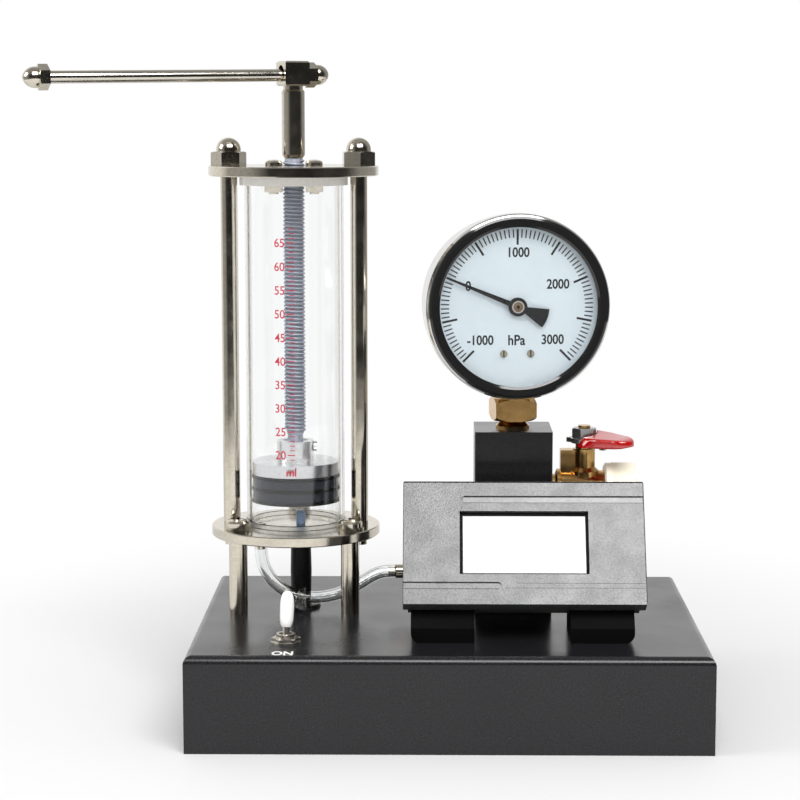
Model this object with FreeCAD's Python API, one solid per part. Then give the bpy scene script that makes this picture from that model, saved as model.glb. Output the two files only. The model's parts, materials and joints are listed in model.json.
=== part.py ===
import FreeCAD, Part
import math
import os

from FreeCAD import Placement, Rotation, Vector

os.makedirs("parts", exist_ok=True)

# A bench apparatus for Boyle's law. A screw drives a piston down a clear cylinder that stands on
# a steel box. A hose joins the cylinder to a block that carries a pressure gauge and a vent
# valve, and a small display reads the air temperature. Millimetres; the origin is the centre of
# the underside, +X is right, +Y is rear and +Z is up.

# ---- driving dimensions ----------------------------------------------------------------------

# clearances
running_fit = 0.05  # radial, between a shaft and its bearing
thread_fit = 0.05  # radial, between a screw and its hole
easy_fit = 0.15  # radial, where a piece passes through a cover

# base box
base_length = 160.0
base_depth = 120.0
base_height = 30.0
base_sheet = 1.2
base_bend = 2.5
floor_sheet = 1.2
floor_gap = 0.2
flange_width = 9.0
floor_screw_inset = 14.0
flange_inset = 4.0

# screws that hold pieces from inside the box, and the depth of a blind hole past its screw
deck_screw_reach = 7.0
foot_screw_reach = 6.0
floor_screw_length = 6.0
csk_head = 2.6
csk_depth = 1.0
hole_spare = 1.0

# cylinder stand
cylinder_x = -50.0
cylinder_y = 10.0
leg_radius = 3.0
leg_height = 24.8
post_circle = 21.0
leg_angles = (210.0, 330.0, 90.0)
rod_angles = (0.0, 180.0)
plate_radius = 27.5
plate_thick = 3.2
rod_radius = 2.75
rod_end_radius = 2.4
rod_overhang = 3.8
acorn_flats = 10.0
acorn_hex = 4.5
acorn_height = 9.0
acorn_dome = 4.0
acorn_depth = 6.6
rod_end_gap = 0.4
plate_edge = 0.3
gasket_thick = 1.5
gasket_width = 1.9
tube_outer = 16.0
tube_bore = 14.5
tube_length = 109.3
guide_radius = 17.5
guide_thick = 3.0
guide_screw_circle = 7.5
guide_screw_angles = (215.0, 335.0, 95.0)
guide_hole = 4.1
guide_nut_flats = 5.5
guide_nut_thick = 2.2

# pan-head screws: shank radius, head radius, head height
leg_screw = (1.9, 4.0, 2.6)
leg_screw_length = 12.0
leg_washer = (4.5, 0.6)
small_screw = (1.5, 2.8, 1.9)

# piston and lead screw
piston_gap = 7.8
skirt_radius = 14.0
skirt_height = 8.4
skirt_edge = 0.4
crown_radius = 14.1
crown_height = 4.7
spigot_radius = 8.0
spigot_depth = 5.0
ring_section = 0.6
ring_spacing = 4.0
ring_groove = 1.3
ring_groove_radius = 13.15
ring_count = 3
boss_radius = 6.0
boss_height = 6.7
boss_floor = 1.1
boss_screw_drop = 2.0
swivel_radius = 4.0
swivel_groove_radius = 3.0
swivel_groove = 2.0
boss_screw_radius = 0.9
boss_screw_head = (1.65, 1.0)
neck_radius = 2.5
neck_height = 2.8
screw_radius = 3.5
screw_pitch = 1.25
column_gap = 2.3
column_radius = 3.75
column_height = 21.9
column_spigot = (2.0, 14.0)
head_neck = (3.2, 1.2)
head_side = 8.3
head_height = 7.9
head_edge = 0.5
head_turn = 25.0
head_hole_radius = 2.65
bar_radius = 2.0
bar_drop = 0.5
bar_droop_angle = 0.8
bar_length = 96.8
bar_nut_flats = 7.0
bar_nut_hex = 3.2
bar_nut_height = 8.0
bar_nut_dome = 3.2
bar_nut_depth = 5.95

# temperature probe and its sleeve
probe_x = -48.4
probe_radius = 1.5
probe_above = 4.3
probe_below = 9.0
sleeve_radius = 3.5
sleeve_below = 8.0
grommet_lip = 1.4
grommet_flange = 1.6

# hose from the lower plate to the block
hose_radius = 2.1
hose_bore = 1.5
hose_route = [
    Vector(-61.5, 8.0, 54.1),
    Vector(-61.5, 8.0, 48.6),
    Vector(-60.5, 6.9, 43.6),
    Vector(-57.6, 5.2, 39.3),
    Vector(-53.2, 3.7, 36.3),
    Vector(-48.1, 3.0, 34.7),
    Vector(-42.5, 3.2, 34.3),
    Vector(-37.1, 4.4, 35.0),
    Vector(-32.0, 6.1, 36.6),
    Vector(-27.6, 8.1, 38.9),
    Vector(-24.0, 9.5, 40.9),
    Vector(-20.6, 10.0, 41.8),
    Vector(-17.0, 10.0, 41.8),
]
nozzle_radius = 2.6
nozzle_collar = 0.7
nozzle_thread = 1.8
nozzle_bore = 0.7
barb_length = 4.5
barb_neck_radius = 2.3
barb_hex_flats = 8.0
barb_hex_length = 5.0
barb_thread = 2.4
barb_thread_length = 6.0
barb_bore = 0.8
barb_stub = 2.6
tie_x = -48.1
tie_width = 2.2
tie_thick = 0.7
tie_head = 3.4
tie_tail = 2.0
tie_tail_width = 2.0
tie_tail_thick = 0.7

# manifold block
block_x = 21.1
block_y = 9.6
block_width = 25.0
block_depth = 25.0
block_height = 60.0
bore_radius = 2.0
block_screw_span = 8.0
port_radius = 5.0
port_depth = 7.0

# pressure gauge
gauge_axis_depth = 11.0
gauge_turn = 8.5
adapter_flats = 13.4
adapter_square = 7.3
adapter_collar = 2.5
adapter_neck = 3.8
gauge_neck = 1.7
adapter_thread = 9.0
gauge_stem_radius = 3.9
bezel_wall = 1.5
bezel_depth = 7.0
bezel_lip = 2.8
case_radius = 28.5
case_wall = 0.8
case_front = 2.3
case_rear = 24.0
window_thick = 1.6
dial_front = 4.6
dial_thick = 0.4
dial_gap = 0.5
dial_screw_span = 4.4
dial_screw_drop = 15.2
dial_screw_shank = 0.6
dial_screw_head = (1.2, 0.7)
dial_screw_slot = 0.3
pointer_front = 3.0
pointer_thick = 0.4
pointer_length = 24.2
pointer_tail = 10.3
pointer_hub = (3.0, 1.4)
pointer_bush = 2.0
pointer_angle = 157.5
movement_plate = 0.8
movement_gap = 4.2
movement_width = 12.0
movement_above = 5.0
movement_rim_gap = 2.0
pinion_teeth = 12
wheel_teeth = 96
gear_module = 0.3
gear_backlash = 0.05
gear_thick = 0.9
arbor_radius = 0.8
sector_from = 58.0
sector_to = 106.0
sector_tail = 8.5
sector_hub = 2.3
link_eye = 1.1
link_pin = 0.45
link_width = 1.6
link_thick = 0.5
tail_clearance = 5.6
bourdon_radius = 19.0
bourdon_width = 8.0
bourdon_thick = 3.0
bourdon_sweep = 278.0
bourdon_corner = (0.8, 1.2)
bourdon_clearance = 2.4
socket_bore = 1.2

# ball valve; its bore lies this far over the box
valve_x = 44.5
valve_rise = 38.5
valve_barrel = 7.2
valve_bore = 2.5
ball_radius = 4.8
valve_seat_wall = 1.6
valve_shoulder = 6.0
valve_right = 51.0
valve_flange_radius = 9.6
valve_flange = 2.4
outlet_flats = 17.0
outlet_length = 7.9
outlet_thread_radius = 4.86
outlet_thread_depth = 6.5
gland_radius = 3.6
gland_rise = 14.5
gland_foot = 1.4
lug_width = 4.2
lug_depth = 5.2
stem_radius = 2.0
stem_rise = 22.1
stem_collar = 0.8
stem_slot = 2.0
lever_rise = 16.4
lever_plate = 1.5
lever_hub = 4.3
lever_tail = (1.2, 4.4)
lever_stop = (4.6, 6.4, 2.4)
lever_width = 7.0
lever_length = 16.0
lever_angle = -38.0
lever_nut_flats = 7.0
lever_nut_height = 3.4
sleeve_wall = 1.3
sleeve_length = 19.0
sleeve_width = 12.0
sleeve_tip = 3.6
sleeve_start = 0.6
sleeve_round = 0.9

# display
display_left = -14.2
display_width = 75.1
display_slant = 40.1
display_tilt = 30.0
display_inset = 17.4
display_rise = 12.5
display_case = 6.0
display_face = 1.6
display_wall = 1.8
display_back_depth = 9.0
display_back_inset = 1.5
window_left = 17.6
window_width = 40.0
window_low = 9.7
window_high = 30.3
groove_width = 2.1
groove_depth = 0.5
groove_top = 33.1
groove_bottom = 5.0
groove_top_left = 18.2
groove_bottom_end = 30.4
module_margin = 2.2
module_thick = 3.0
foot_width = 19.6
foot_left = -11.7
foot_right = 37.6
foot_inset = 18.4
foot_depth = 23.0
foot_step = 4.6
foot_screw_insets = (5.6, 17.6)
foot_rest = 14.0
foot_round = 3.0

# toggle switch
toggle_x = -50.3
toggle_inset = 20.0
toggle_turn = 10.0
toggle_lean = 12.0
switch_body = (8.0, 13.0, 9.5)
bushing_radius = 2.95
bushing_bore = 2.1
bushing_above = 2.6
switch_nut_flats = 8.0
switch_nut_thick = 1.1
switch_washer = (4.7, 0.3)
lug_length = 4.0
lug_spacing = 4.7
toggle_pivot = 0.4
toggle_stem = 1.1
toggle_stem_below = 3.4
toggle_cap_from = 4.1
toggle_cap_length = 11.2
toggle_cap_radius = 2.15

# battery holder
holder_x = 14.0
holder_y = 22.0
cell_radius = 7.1
cell_length = 50.0
cell_nub = (2.6, 1.4)
cell_gap = 0.1
holder_wall = 1.4
holder_floor = 1.2

# ---- levels and places worked out from the sizes ---------------------------------------------

deck = base_height
front_edge = -base_depth / 2
under_deck = deck - base_sheet
plate_low = deck + leg_height
plate_top = plate_low + plate_thick
tube_low = plate_top + gasket_thick
tube_top = tube_low + tube_length
guide_top = tube_top + guide_thick
head_plate_top = guide_top + plate_thick
piston_low = plate_top + piston_gap
crown_low = piston_low + skirt_height
crown_top = crown_low + crown_height
boss_top = crown_top + boss_height
screw_low = boss_top + neck_height
column_low = head_plate_top + column_gap
column_top = column_low + column_height
head_low = column_top + head_neck[1]
head_top = head_low + head_height
hole_level = (head_low + head_top) / 2
block_top = deck + block_height
block_left = block_x - block_width / 2
block_right = block_x + block_width / 2
gauge_height = block_top + adapter_collar + adapter_square + gauge_neck + case_radius
gauge_y = block_y - gauge_axis_depth
gauge_centre = Vector(block_x, gauge_y, gauge_height)
into_gauge = Vector(0, 1, 0)

valve_height = deck + valve_rise
gland_top = valve_height + gland_rise
stem_top = valve_height + stem_rise
lever_level = valve_height + lever_rise
toggle_y = front_edge + toggle_inset
display_y = front_edge + display_inset
display_z = deck + display_rise
foot_front = front_edge + foot_inset
foot_rear = foot_front + foot_depth
right_way = Vector(1, 0, 0)


# ---- shaping helpers -------------------------------------------------------------------------

def rod(radius, low, high, x=0.0, y=0.0):
    """Upright round bar."""
    return Part.makeCylinder(radius, high - low, Vector(x, y, low))


def ring(outer, inner, low, high, x=0.0, y=0.0):
    """Upright round bar with a hole down it."""
    return rod(outer, low, high, x, y).cut(rod(inner, low - 1, high + 1, x, y))


def bar(radius, start, direction, length):
    """Round bar from a point along a direction."""
    return Part.makeCylinder(radius, length, start, direction)


def brick(x0, x1, y0, y1, z0, z1):
    """Rectangular block between two corners."""
    return Part.makeBox(x1 - x0, y1 - y0, z1 - z0, Vector(x0, y0, z0))


def turned(profile, x=0.0, y=0.0):
    """Solid turned about an upright axis from (radius, height) points."""
    points = [Vector(x + r, y, z) for r, z in profile]
    face = Part.Face(Part.makePolygon(points + points[:1]))
    return face.revolve(Vector(x, y, 0), Vector(0, 0, 1), 360)


def outline(points):
    """Flat face inside a closed run of points."""
    return Part.Face(Part.makePolygon(list(points) + [points[0]]))


def turned_prism(flats, low, high, x=0.0, y=0.0, turn=0.0, both=False, sides=6):
    """Bar with flats all round, its corners turned off at the top, or at both ends."""
    reach = flats / 2 / math.cos(math.pi / sides)
    corners = []
    for k in range(sides):
        angle = math.radians(360.0 / sides * k + turn)
        corners.append(Vector(x + reach * math.cos(angle), y + reach * math.sin(angle), low))
    bevel = (reach - flats / 2) * 0.9
    slope = bevel * 0.58
    start = low + slope if both else low
    inner = reach - bevel
    profile = [(0, low), (inner if both else reach + 0.1, low), (reach + 0.1, start + 0.06)]
    profile += [(reach + 0.1, high - slope), (inner, high), (0, high)]
    return outline(corners).extrude(Vector(0, 0, high - low)).common(turned(profile, x, y))


def pan_screw(shape, length, x, y, seat, up=True):
    """Pan-head screw whose head sits on a level seat, with a cross recess in the head."""
    shank, head, height = shape
    crown = height * 0.45
    profile = [(0, -length), (shank, -length), (shank, 0), (head, 0), (head, height - crown)]
    profile += [(head * 0.86, height - crown * 0.4), (head * 0.55, height), (0, height)]
    screw = turned(profile)
    slot = head * 0.5
    width = head * 0.11
    for a, b in ((slot, width), (width, slot)):
        screw = screw.cut(brick(-a, a, -b, b, height * 0.45, height + 1))
    if not up:
        screw.rotate(Vector(0, 0, 0), Vector(1, 0, 0), 180)
    screw.translate(Vector(x, y, seat))
    return screw


def acorn_nut(flats, hex_height, height, dome, bore, depth):
    """Domed cap nut standing on the origin, blind-bored from below."""
    nut = turned_prism(flats, 0, hex_height)
    top = height - hex_height
    arc = Part.Arc(Vector(dome, 0, hex_height), Vector(dome * 0.74, 0, hex_height + top * 0.72),
                   Vector(0, 0, height)).toShape()
    sides = [Part.makeLine(Vector(0, 0, height), Vector(0, 0, hex_height - 0.5)),
             Part.makeLine(Vector(0, 0, hex_height - 0.5), Vector(dome, 0, hex_height - 0.5)),
             Part.makeLine(Vector(dome, 0, hex_height - 0.5), Vector(dome, 0, hex_height))]
    face = Part.Face(Part.Wire([arc] + sides))
    cap = face.revolve(Vector(0, 0, 0), Vector(0, 0, 1), 360)
    return nut.fuse(cap).cut(rod(bore, -1, depth)).removeSplitter()


def placed(shape, origin, direction=Vector(0, 0, 1)):
    """Copy of a shape made on the +Z axis, carried to an origin and an axis."""
    moved = shape.copy()
    moved.Placement = Placement(origin, Rotation(Vector(0, 0, 1), direction)).multiply(moved.Placement)
    return moved


def around(angles, circle, centre_x, centre_y):
    """Places on a circle, one for each angle in degrees."""
    places = []
    for angle in angles:
        a = math.radians(angle)
        places.append((centre_x + circle * math.cos(a), centre_y + circle * math.sin(a)))
    return places


def keep(name, *solids):
    """Write one sub-part."""
    shape = solids[0] if len(solids) == 1 else Part.makeCompound(list(solids))
    shape.exportStep("parts/" + name + ".step")


def keep_gauge(name, *solids):
    """Write one sub-part of the gauge, which is drawn facing the front and turned on its stem."""
    for solid in solids:
        solid.rotate(Vector(block_x, block_y, 0), Vector(0, 0, 1), gauge_turn)
    keep(name, *solids)


# ---- base box --------------------------------------------------------------------------------

leg_places = around(leg_angles, post_circle, cylinder_x, cylinder_y)
rod_places = around(rod_angles, post_circle, cylinder_x, cylinder_y)
block_screw_places = [(block_x - block_screw_span, block_y), (block_x + block_screw_span, block_y)]
foot_lefts = (foot_left, foot_right)
foot_screw_places = []
for left in foot_lefts:
    for inset in foot_screw_insets:
        foot_screw_places.append((left + foot_width / 2, foot_front + inset))
half_length = base_length / 2
half_depth = base_depth / 2
grommet_hole = sleeve_radius + grommet_lip

case = brick(-half_length, half_length, -half_depth, half_depth, 0, base_height)
top_edges = [e for e in case.Edges if min(v.Z for v in e.Vertexes) > base_height - 0.01]
case = case.makeFillet(base_bend, top_edges)
hollow = brick(-half_length + base_sheet, half_length - base_sheet,
               -half_depth + base_sheet, half_depth - base_sheet, -1, base_height - base_sheet)
inner_edges = [e for e in hollow.Edges if min(v.Z for v in e.Vertexes) > base_height - base_sheet - 0.01]
case = case.cut(hollow.makeFillet(base_bend - base_sheet, inner_edges))
flange_low = floor_sheet
for side in (-1, 1):
    edge = side * (half_depth - base_sheet)
    inner = side * (half_depth - base_sheet - flange_width)
    case = case.fuse(brick(-half_length + flange_inset, half_length - flange_inset,
                           min(edge, inner), max(edge, inner), flange_low, flange_low + base_sheet))
floor_screw_places = []
for sx in (-1, 1):
    for sy in (-1, 1):
        floor_screw_places.append((sx * (half_length - floor_screw_inset),
                                   sy * (half_depth - base_sheet - flange_width / 2)))
for x, y in floor_screw_places:
    case = case.cut(rod(small_screw[0] + thread_fit, 0, floor_screw_length + hole_spare, x, y))
deck_holes = [(leg_screw[0] + easy_fit, place) for place in leg_places + block_screw_places]
deck_holes += [(small_screw[0] + easy_fit, place) for place in foot_screw_places]
deck_holes += [(grommet_hole, (probe_x, cylinder_y)), (bushing_radius + easy_fit, (toggle_x, toggle_y))]
for radius, (x, y) in deck_holes:
    case = case.cut(rod(radius, under_deck - 1, deck + 1, x, y))
keep("base_case", case.removeSplitter())

floor = brick(-half_length + base_sheet + floor_gap, half_length - base_sheet - floor_gap,
              -half_depth + base_sheet + floor_gap, half_depth - base_sheet - floor_gap, 0, floor_sheet)
for x, y in floor_screw_places:
    cone = turned([(0, -0.01), (csk_head + thread_fit, -0.01), (small_screw[0] + thread_fit, csk_depth),
                   (small_screw[0] + thread_fit, floor_sheet + 1), (0, floor_sheet + 1)], x, y)
    floor = floor.cut(cone)
keep("base_floor", floor)

screws = []
for x, y in floor_screw_places:
    screws.append(turned([(0, 0), (csk_head, 0), (small_screw[0], csk_depth),
                          (small_screw[0], floor_screw_length), (0, floor_screw_length)], x, y))
for x, y in leg_places + block_screw_places:
    screws.append(pan_screw(leg_screw, base_sheet + deck_screw_reach, x, y, under_deck, up=False))
for x, y in foot_screw_places:
    screws.append(pan_screw(small_screw, base_sheet + foot_screw_reach, x, y, under_deck, up=False))
keep("base_screws", *screws)

# Two penlight cells in a tray on the floor sheet.
tray_length = cell_length + 2 * holder_wall + 1.0
tray_width = 4 * cell_radius + 2 * holder_wall + 0.9
tray_height = cell_radius * 1.5
tray_low = floor_sheet
tray = brick(holder_x - tray_length / 2, holder_x + tray_length / 2,
             holder_y - tray_width / 2, holder_y + tray_width / 2, tray_low, tray_low + tray_height)
tray = tray.cut(brick(holder_x - tray_length / 2 + holder_wall, holder_x + tray_length / 2 - holder_wall,
                      holder_y - tray_width / 2 + holder_wall, holder_y + tray_width / 2 - holder_wall,
                      tray_low + holder_floor, tray_low + tray_height + 1))
keep("battery_holder", tray)
cells = []
cell_level = tray_low + holder_floor + cell_radius
for side in (-1, 1):
    y = holder_y + side * (cell_radius + cell_gap)
    start = Vector(holder_x - side * cell_length / 2, y, cell_level)
    along = Vector(side, 0, 0)
    can_length = cell_length - cell_nub[1]
    nub = bar(cell_nub[0], start + along * can_length, along, cell_nub[1])
    cells.append(bar(cell_radius, start, along, can_length).fuse(nub).removeSplitter())
keep("battery_cells", *cells)

# ---- toggle switch ---------------------------------------------------------------------------

body_width, body_length, body_depth = switch_body
bushing_top = deck + bushing_above
body_top = under_deck
switch = brick(-body_width / 2, body_width / 2, -body_length / 2, body_length / 2,
               body_top - body_depth, body_top)
switch = switch.fuse(rod(bushing_radius, body_top - 1, bushing_top))
switch = switch.cut(rod(bushing_bore, body_top - 4, bushing_top + 1))
for k in (-1, 0, 1):
    y = k * lug_spacing
    lug_top = body_top - body_depth + 0.5
    switch = switch.fuse(brick(-1.0, 1.0, y - 0.4, y + 0.4, lug_top - 0.5 - lug_length, lug_top))
switch.rotate(Vector(0, 0, 0), Vector(0, 0, 1), -toggle_turn)
switch.translate(Vector(toggle_x, toggle_y, 0))
keep("switch_body", switch.removeSplitter())

washer_top = deck + switch_washer[1]
hole = bushing_radius + thread_fit
switch_ring = ring(switch_washer[0], hole, deck, washer_top, toggle_x, toggle_y)
nut_turn = 6.0
switch_nut = turned_prism(switch_nut_flats, washer_top, washer_top + switch_nut_thick, toggle_x, toggle_y,
                          nut_turn)
switch_nut = switch_nut.cut(rod(hole, deck, bushing_top, toggle_x, toggle_y))
keep("switch_nut", switch_ring, switch_nut)

pivot = Vector(toggle_x, toggle_y, deck + toggle_pivot)
lever = Part.makeSphere(bushing_bore - running_fit)
lever = lever.fuse(rod(toggle_stem, -toggle_stem_below, toggle_cap_from + 0.5))
cap_r = toggle_cap_radius
cap_low = toggle_cap_from
cap_top = cap_low + toggle_cap_length
shoulder = [(0, cap_low), (cap_r * 0.66, cap_low), (cap_r * 0.86, cap_low + 1.0), (cap_r, cap_low + 4.0)]
tip = [(cap_r * 0.9, cap_top - 2.2), (cap_r * 0.62, cap_top - 0.7), (0, cap_top)]
spline = Part.BSplineCurve()
spline.interpolate([Vector(r, 0, z) for r, z in shoulder[1:] + tip])
edge = spline.toShape()
wire = Part.Wire([edge, Part.makeLine(Vector(0, 0, cap_top), Vector(0, 0, cap_low)),
                  Part.makeLine(Vector(0, 0, cap_low), Vector(shoulder[1][0], 0, cap_low))])
cap = Part.Face(wire).revolve(Vector(0, 0, 0), Vector(0, 0, 1), 360)
lever = lever.cut(rod(toggle_stem + 1, cap_low, cap_top))
lean = Rotation(Vector(math.cos(math.radians(toggle_turn)), -math.sin(math.radians(toggle_turn)), 0),
                -toggle_lean)
for name, piece in (("toggle_lever", lever), ("toggle_cap", cap)):
    piece.Placement = Placement(pivot, lean)
    keep(name, piece)

# ---- cylinder stand --------------------------------------------------------------------------

legs = []
leg_bolts = []
deck_hole_top = deck + deck_screw_reach + hole_spare
top_hole = leg_screw_length - leg_washer[1] - plate_thick + hole_spare
for x, y in leg_places:
    leg = rod(leg_radius, deck, plate_low, x, y)
    leg = leg.cut(rod(leg_screw[0] + thread_fit, deck - 1, deck_hole_top, x, y))
    leg = leg.cut(rod(leg_screw[0] + thread_fit, plate_low - top_hole, plate_low + 1, x, y))
    legs.append(leg)
    seat = plate_top + leg_washer[1]
    leg_bolts.append(pan_screw(leg_screw, leg_screw_length, x, y, seat))
    leg_bolts.append(ring(leg_washer[0], leg_screw[0] + easy_fit, plate_top, seat, x, y))
keep("leg_posts", *legs)
keep("leg_screws", *leg_bolts)

nozzle_x = hose_route[0].x
nozzle_y = hose_route[0].y
lower = rod(plate_radius, plate_low, plate_top, cylinder_x, cylinder_y)
lower = lower.makeChamfer(plate_edge, [e for e in lower.Edges if len(e.Vertexes) == 1])
for x, y in leg_places:
    lower = lower.cut(rod(leg_screw[0] + easy_fit, plate_low - 1, plate_top + 1, x, y))
for x, y in rod_places:
    lower = lower.cut(rod(rod_end_radius + thread_fit, plate_low - 1, plate_top + 1, x, y))
lower = lower.cut(rod(probe_radius + easy_fit, plate_low - 1, plate_top + 1, probe_x, cylinder_y))
lower = lower.cut(rod(nozzle_thread + thread_fit, plate_low - 1, plate_top + 1, nozzle_x, nozzle_y))
keep("lower_plate", lower)

upper = rod(plate_radius, guide_top, head_plate_top, cylinder_x, cylinder_y)
upper = upper.makeChamfer(plate_edge, [e for e in upper.Edges if len(e.Vertexes) == 1])
for x, y in rod_places:
    upper = upper.cut(rod(rod_end_radius + easy_fit, guide_top - 1, head_plate_top + 1, x, y))
guide_places = around(guide_screw_angles, guide_screw_circle, cylinder_x, cylinder_y)
for x, y in guide_places:
    upper = upper.cut(rod(small_screw[0] + easy_fit, guide_top - 1, head_plate_top + 1, x, y))
upper = upper.cut(rod(guide_hole, guide_top - 1, head_plate_top + 1, cylinder_x, cylinder_y))
keep("upper_plate", upper)

tie_rods = []
cap_nuts = []
for x, y in rod_places:
    tie = rod(rod_radius, plate_top, guide_top, x, y)
    tie = tie.fuse(rod(rod_end_radius, plate_low - rod_overhang, plate_top, x, y))
    tie = tie.fuse(rod(rod_end_radius, guide_top, head_plate_top + acorn_depth - rod_end_gap, x, y))
    tie_rods.append(tie)
    nut = acorn_nut(acorn_flats, acorn_hex, acorn_height, acorn_dome, rod_end_radius + thread_fit,
                    acorn_depth)
    nut.rotate(Vector(0, 0, 0), Vector(0, 0, 1), 12 if x < cylinder_x else 38)
    nut.translate(Vector(x, y, head_plate_top))
    cap_nuts.append(nut)
keep("tie_rods", *tie_rods)
keep("acorn_nuts", *cap_nuts)

keep("lower_gasket", ring(tube_bore + gasket_width, tube_bore, plate_top, tube_low, cylinder_x, cylinder_y))
keep("cylinder_tube", ring(tube_outer, tube_bore, tube_low, tube_top, cylinder_x, cylinder_y))

# The screw runs in a thread in the nylon guide, which three screws pull up under the plate.
guide = ring(guide_radius, screw_radius + running_fit, tube_top, guide_top, cylinder_x, cylinder_y)
bolts = []
for x, y in guide_places:
    guide = guide.cut(rod(small_screw[0] + easy_fit, tube_top - 1, guide_top + 1, x, y))
    grip = plate_thick + guide_thick + guide_nut_thick
    bolts.append(pan_screw(small_screw, grip + 0.6, x, y, head_plate_top))
    nut = turned_prism(guide_nut_flats, tube_top - guide_nut_thick, tube_top, x, y, 30, both=True)
    bolts.append(nut.cut(rod(small_screw[0] + thread_fit, tube_top - 5, tube_top + 1, x, y)))
keep("guide_disc", guide)
keep("guide_screws", *bolts)

# ---- temperature probe -----------------------------------------------------------------------

probe_low = plate_low - probe_below
probe_top = plate_top + probe_above
probe = turned([(0, probe_low), (probe_radius, probe_low), (probe_radius, probe_top - 0.8),
                (probe_radius * 0.6, probe_top), (0, probe_top)], probe_x, cylinder_y)
keep("temperature_probe", probe)
sleeve_low = under_deck - sleeve_below
s = sleeve_radius
sleeve = turned([(0, sleeve_low), (s * 0.94, sleeve_low), (s * 0.94, deck + 4), (s * 0.97, deck + 9),
                 (s, deck + 12), (s * 0.96, deck + 18), (s * 0.93, plate_low - 1.2), (s * 0.88, plate_low),
                 (0, plate_low)], probe_x, cylinder_y)
sleeve = sleeve.cut(rod(probe_radius + easy_fit, probe_low - 0.2, plate_low + 1, probe_x, cylinder_y))
keep("probe_sleeve", sleeve)
grommet = turned([(s, under_deck - 1.0), (grommet_hole + 1, under_deck - 1.0),
                  (grommet_hole + 1, under_deck), (grommet_hole, under_deck),
                  (grommet_hole, deck), (grommet_hole + grommet_flange, deck),
                  (grommet_hole + grommet_flange - 0.4, deck + 1.1), (s, deck + 1.4)], probe_x, cylinder_y)
keep("sleeve_grommet", grommet)

# ---- hose ------------------------------------------------------------------------------------

route_end = hose_route[-1]
port_level = route_end.z


def bent_path(points):
    """Straight runs joined by arcs, each as large as its two runs allow; gives the path and the radii."""
    edges = []
    radii = []
    at = points[0]
    for before, corner, after in zip(points, points[1:], points[2:]):
        a = (corner - before).normalize()
        b = (after - corner).normalize()
        turn = math.acos(max(-1.0, min(1.0, a.dot(b))))
        back = 0.45 * min((corner - before).Length, (after - corner).Length)
        radius = back / math.tan(turn / 2)
        start = corner - a * back
        finish = corner + b * back
        inward = (b - a).normalize()
        middle = corner + inward * (radius / math.cos(turn / 2) - radius)
        if (start - at).Length > 1e-6:
            edges.append(Part.LineSegment(at, start).toShape())
        edges.append(Part.Arc(start, middle, finish).toShape())
        radii.append(radius)
        at = finish
    edges.append(Part.LineSegment(at, points[-1]).toShape())
    return Part.Wire(edges), radii


def along_path(path, radius, start, direction):
    """Round bar swept along a path."""
    section = Part.Wire([Part.makeCircle(radius, start, direction)])
    return path.makePipeShell([section], True, False)


path, bend_radii = bent_path(hose_route)
first_way = (hose_route[1] - hose_route[0]).normalize()
hose = along_path(path, hose_radius, hose_route[0], first_way)
hose = hose.cut(along_path(path, hose_bore, hose_route[0], first_way))
keep("hose", hose)
section_area = math.pi * (hose_radius ** 2 - hose_bore ** 2)
print("hose length %.1f, bend radii %s" % (path.Length, ["%.1f" % r for r in bend_radii]))
print("hose volume %.1f, section times length %.1f" % (hose.Volume, section_area * path.Length))

# The nozzle screws into the lower plate and its stub fills the top of the hose.
stub = hose_bore - running_fit
collar_low = plate_low - nozzle_collar
nozzle = turned([(nozzle_bore, collar_low - barb_length), (stub, collar_low - barb_length),
                 (stub, collar_low), (nozzle_radius, collar_low), (nozzle_radius, plate_low),
                 (nozzle_thread, plate_low),
                 (nozzle_thread, plate_top + 0.4), (nozzle_bore, plate_top + 0.4)], nozzle_x, nozzle_y)
keep("hose_nozzle", nozzle)

# The barb has a hexagon against the block, a long neck and a stub in the end of the hose.
neck_end = route_end.x
barb_hex_left = block_left - barb_hex_length
neck_length = barb_hex_left - neck_end + 1
barb = turned([(barb_bore, -barb_stub), (stub, -barb_stub), (stub, 0), (barb_neck_radius, 0),
               (barb_neck_radius, neck_length), (barb_bore, neck_length)])
hex_piece = turned_prism(barb_hex_flats, 0, barb_hex_length, turn=15, both=True)
hex_piece = hex_piece.cut(rod(barb_bore, -1, barb_hex_length + 1))
thread = ring(barb_thread, barb_bore, barb_hex_length, barb_hex_length + barb_thread_length)
barb = placed(barb, Vector(neck_end, route_end.y, port_level), right_way)
hex_start = Vector(barb_hex_left, route_end.y, port_level)
barb = barb.fuse(placed(hex_piece, hex_start, right_way))
barb = barb.fuse(placed(thread, hex_start, right_way))
keep("block_barb", barb.removeSplitter())

# A small cable tie round the hose, with its lock block and a hanging tail.
tie_at = min(range(1, len(hose_route) - 1), key=lambda k: abs(hose_route[k].x - tie_x))
tie_corner = hose_route[tie_at]
way_in = (tie_corner - hose_route[tie_at - 1]).normalize()
way_out = (hose_route[tie_at + 1] - tie_corner).normalize()
tie_way = (way_in + way_out).normalize()
tie_turn = math.acos(max(-1.0, min(1.0, way_in.dot(way_out))))
sag = bend_radii[tie_at - 1] * (1 / math.cos(tie_turn / 2) - 1)
tie_centre = tie_corner + (way_out - way_in).normalize() * sag
tie_bore = hose_radius + running_fit
tie_start = tie_centre - tie_way * (tie_width / 2)
band = bar(tie_bore + tie_thick, tie_start, tie_way, tie_width)
lock = brick(-tie_head / 2, tie_head / 2, -tie_head / 2, tie_head / 2, 0, tie_head * 0.75)
lock_way = Vector(0, -0.92, -0.39)
lock = placed(lock, tie_centre + lock_way * (tie_bore - 0.2), lock_way)
tail_base = tie_centre + lock_way * (tie_bore + 1.2)
tail = brick(-tie_tail_width / 2, tie_tail_width / 2, -tie_tail_thick / 2, tie_tail_thick / 2, -tie_tail, 0)
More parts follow.
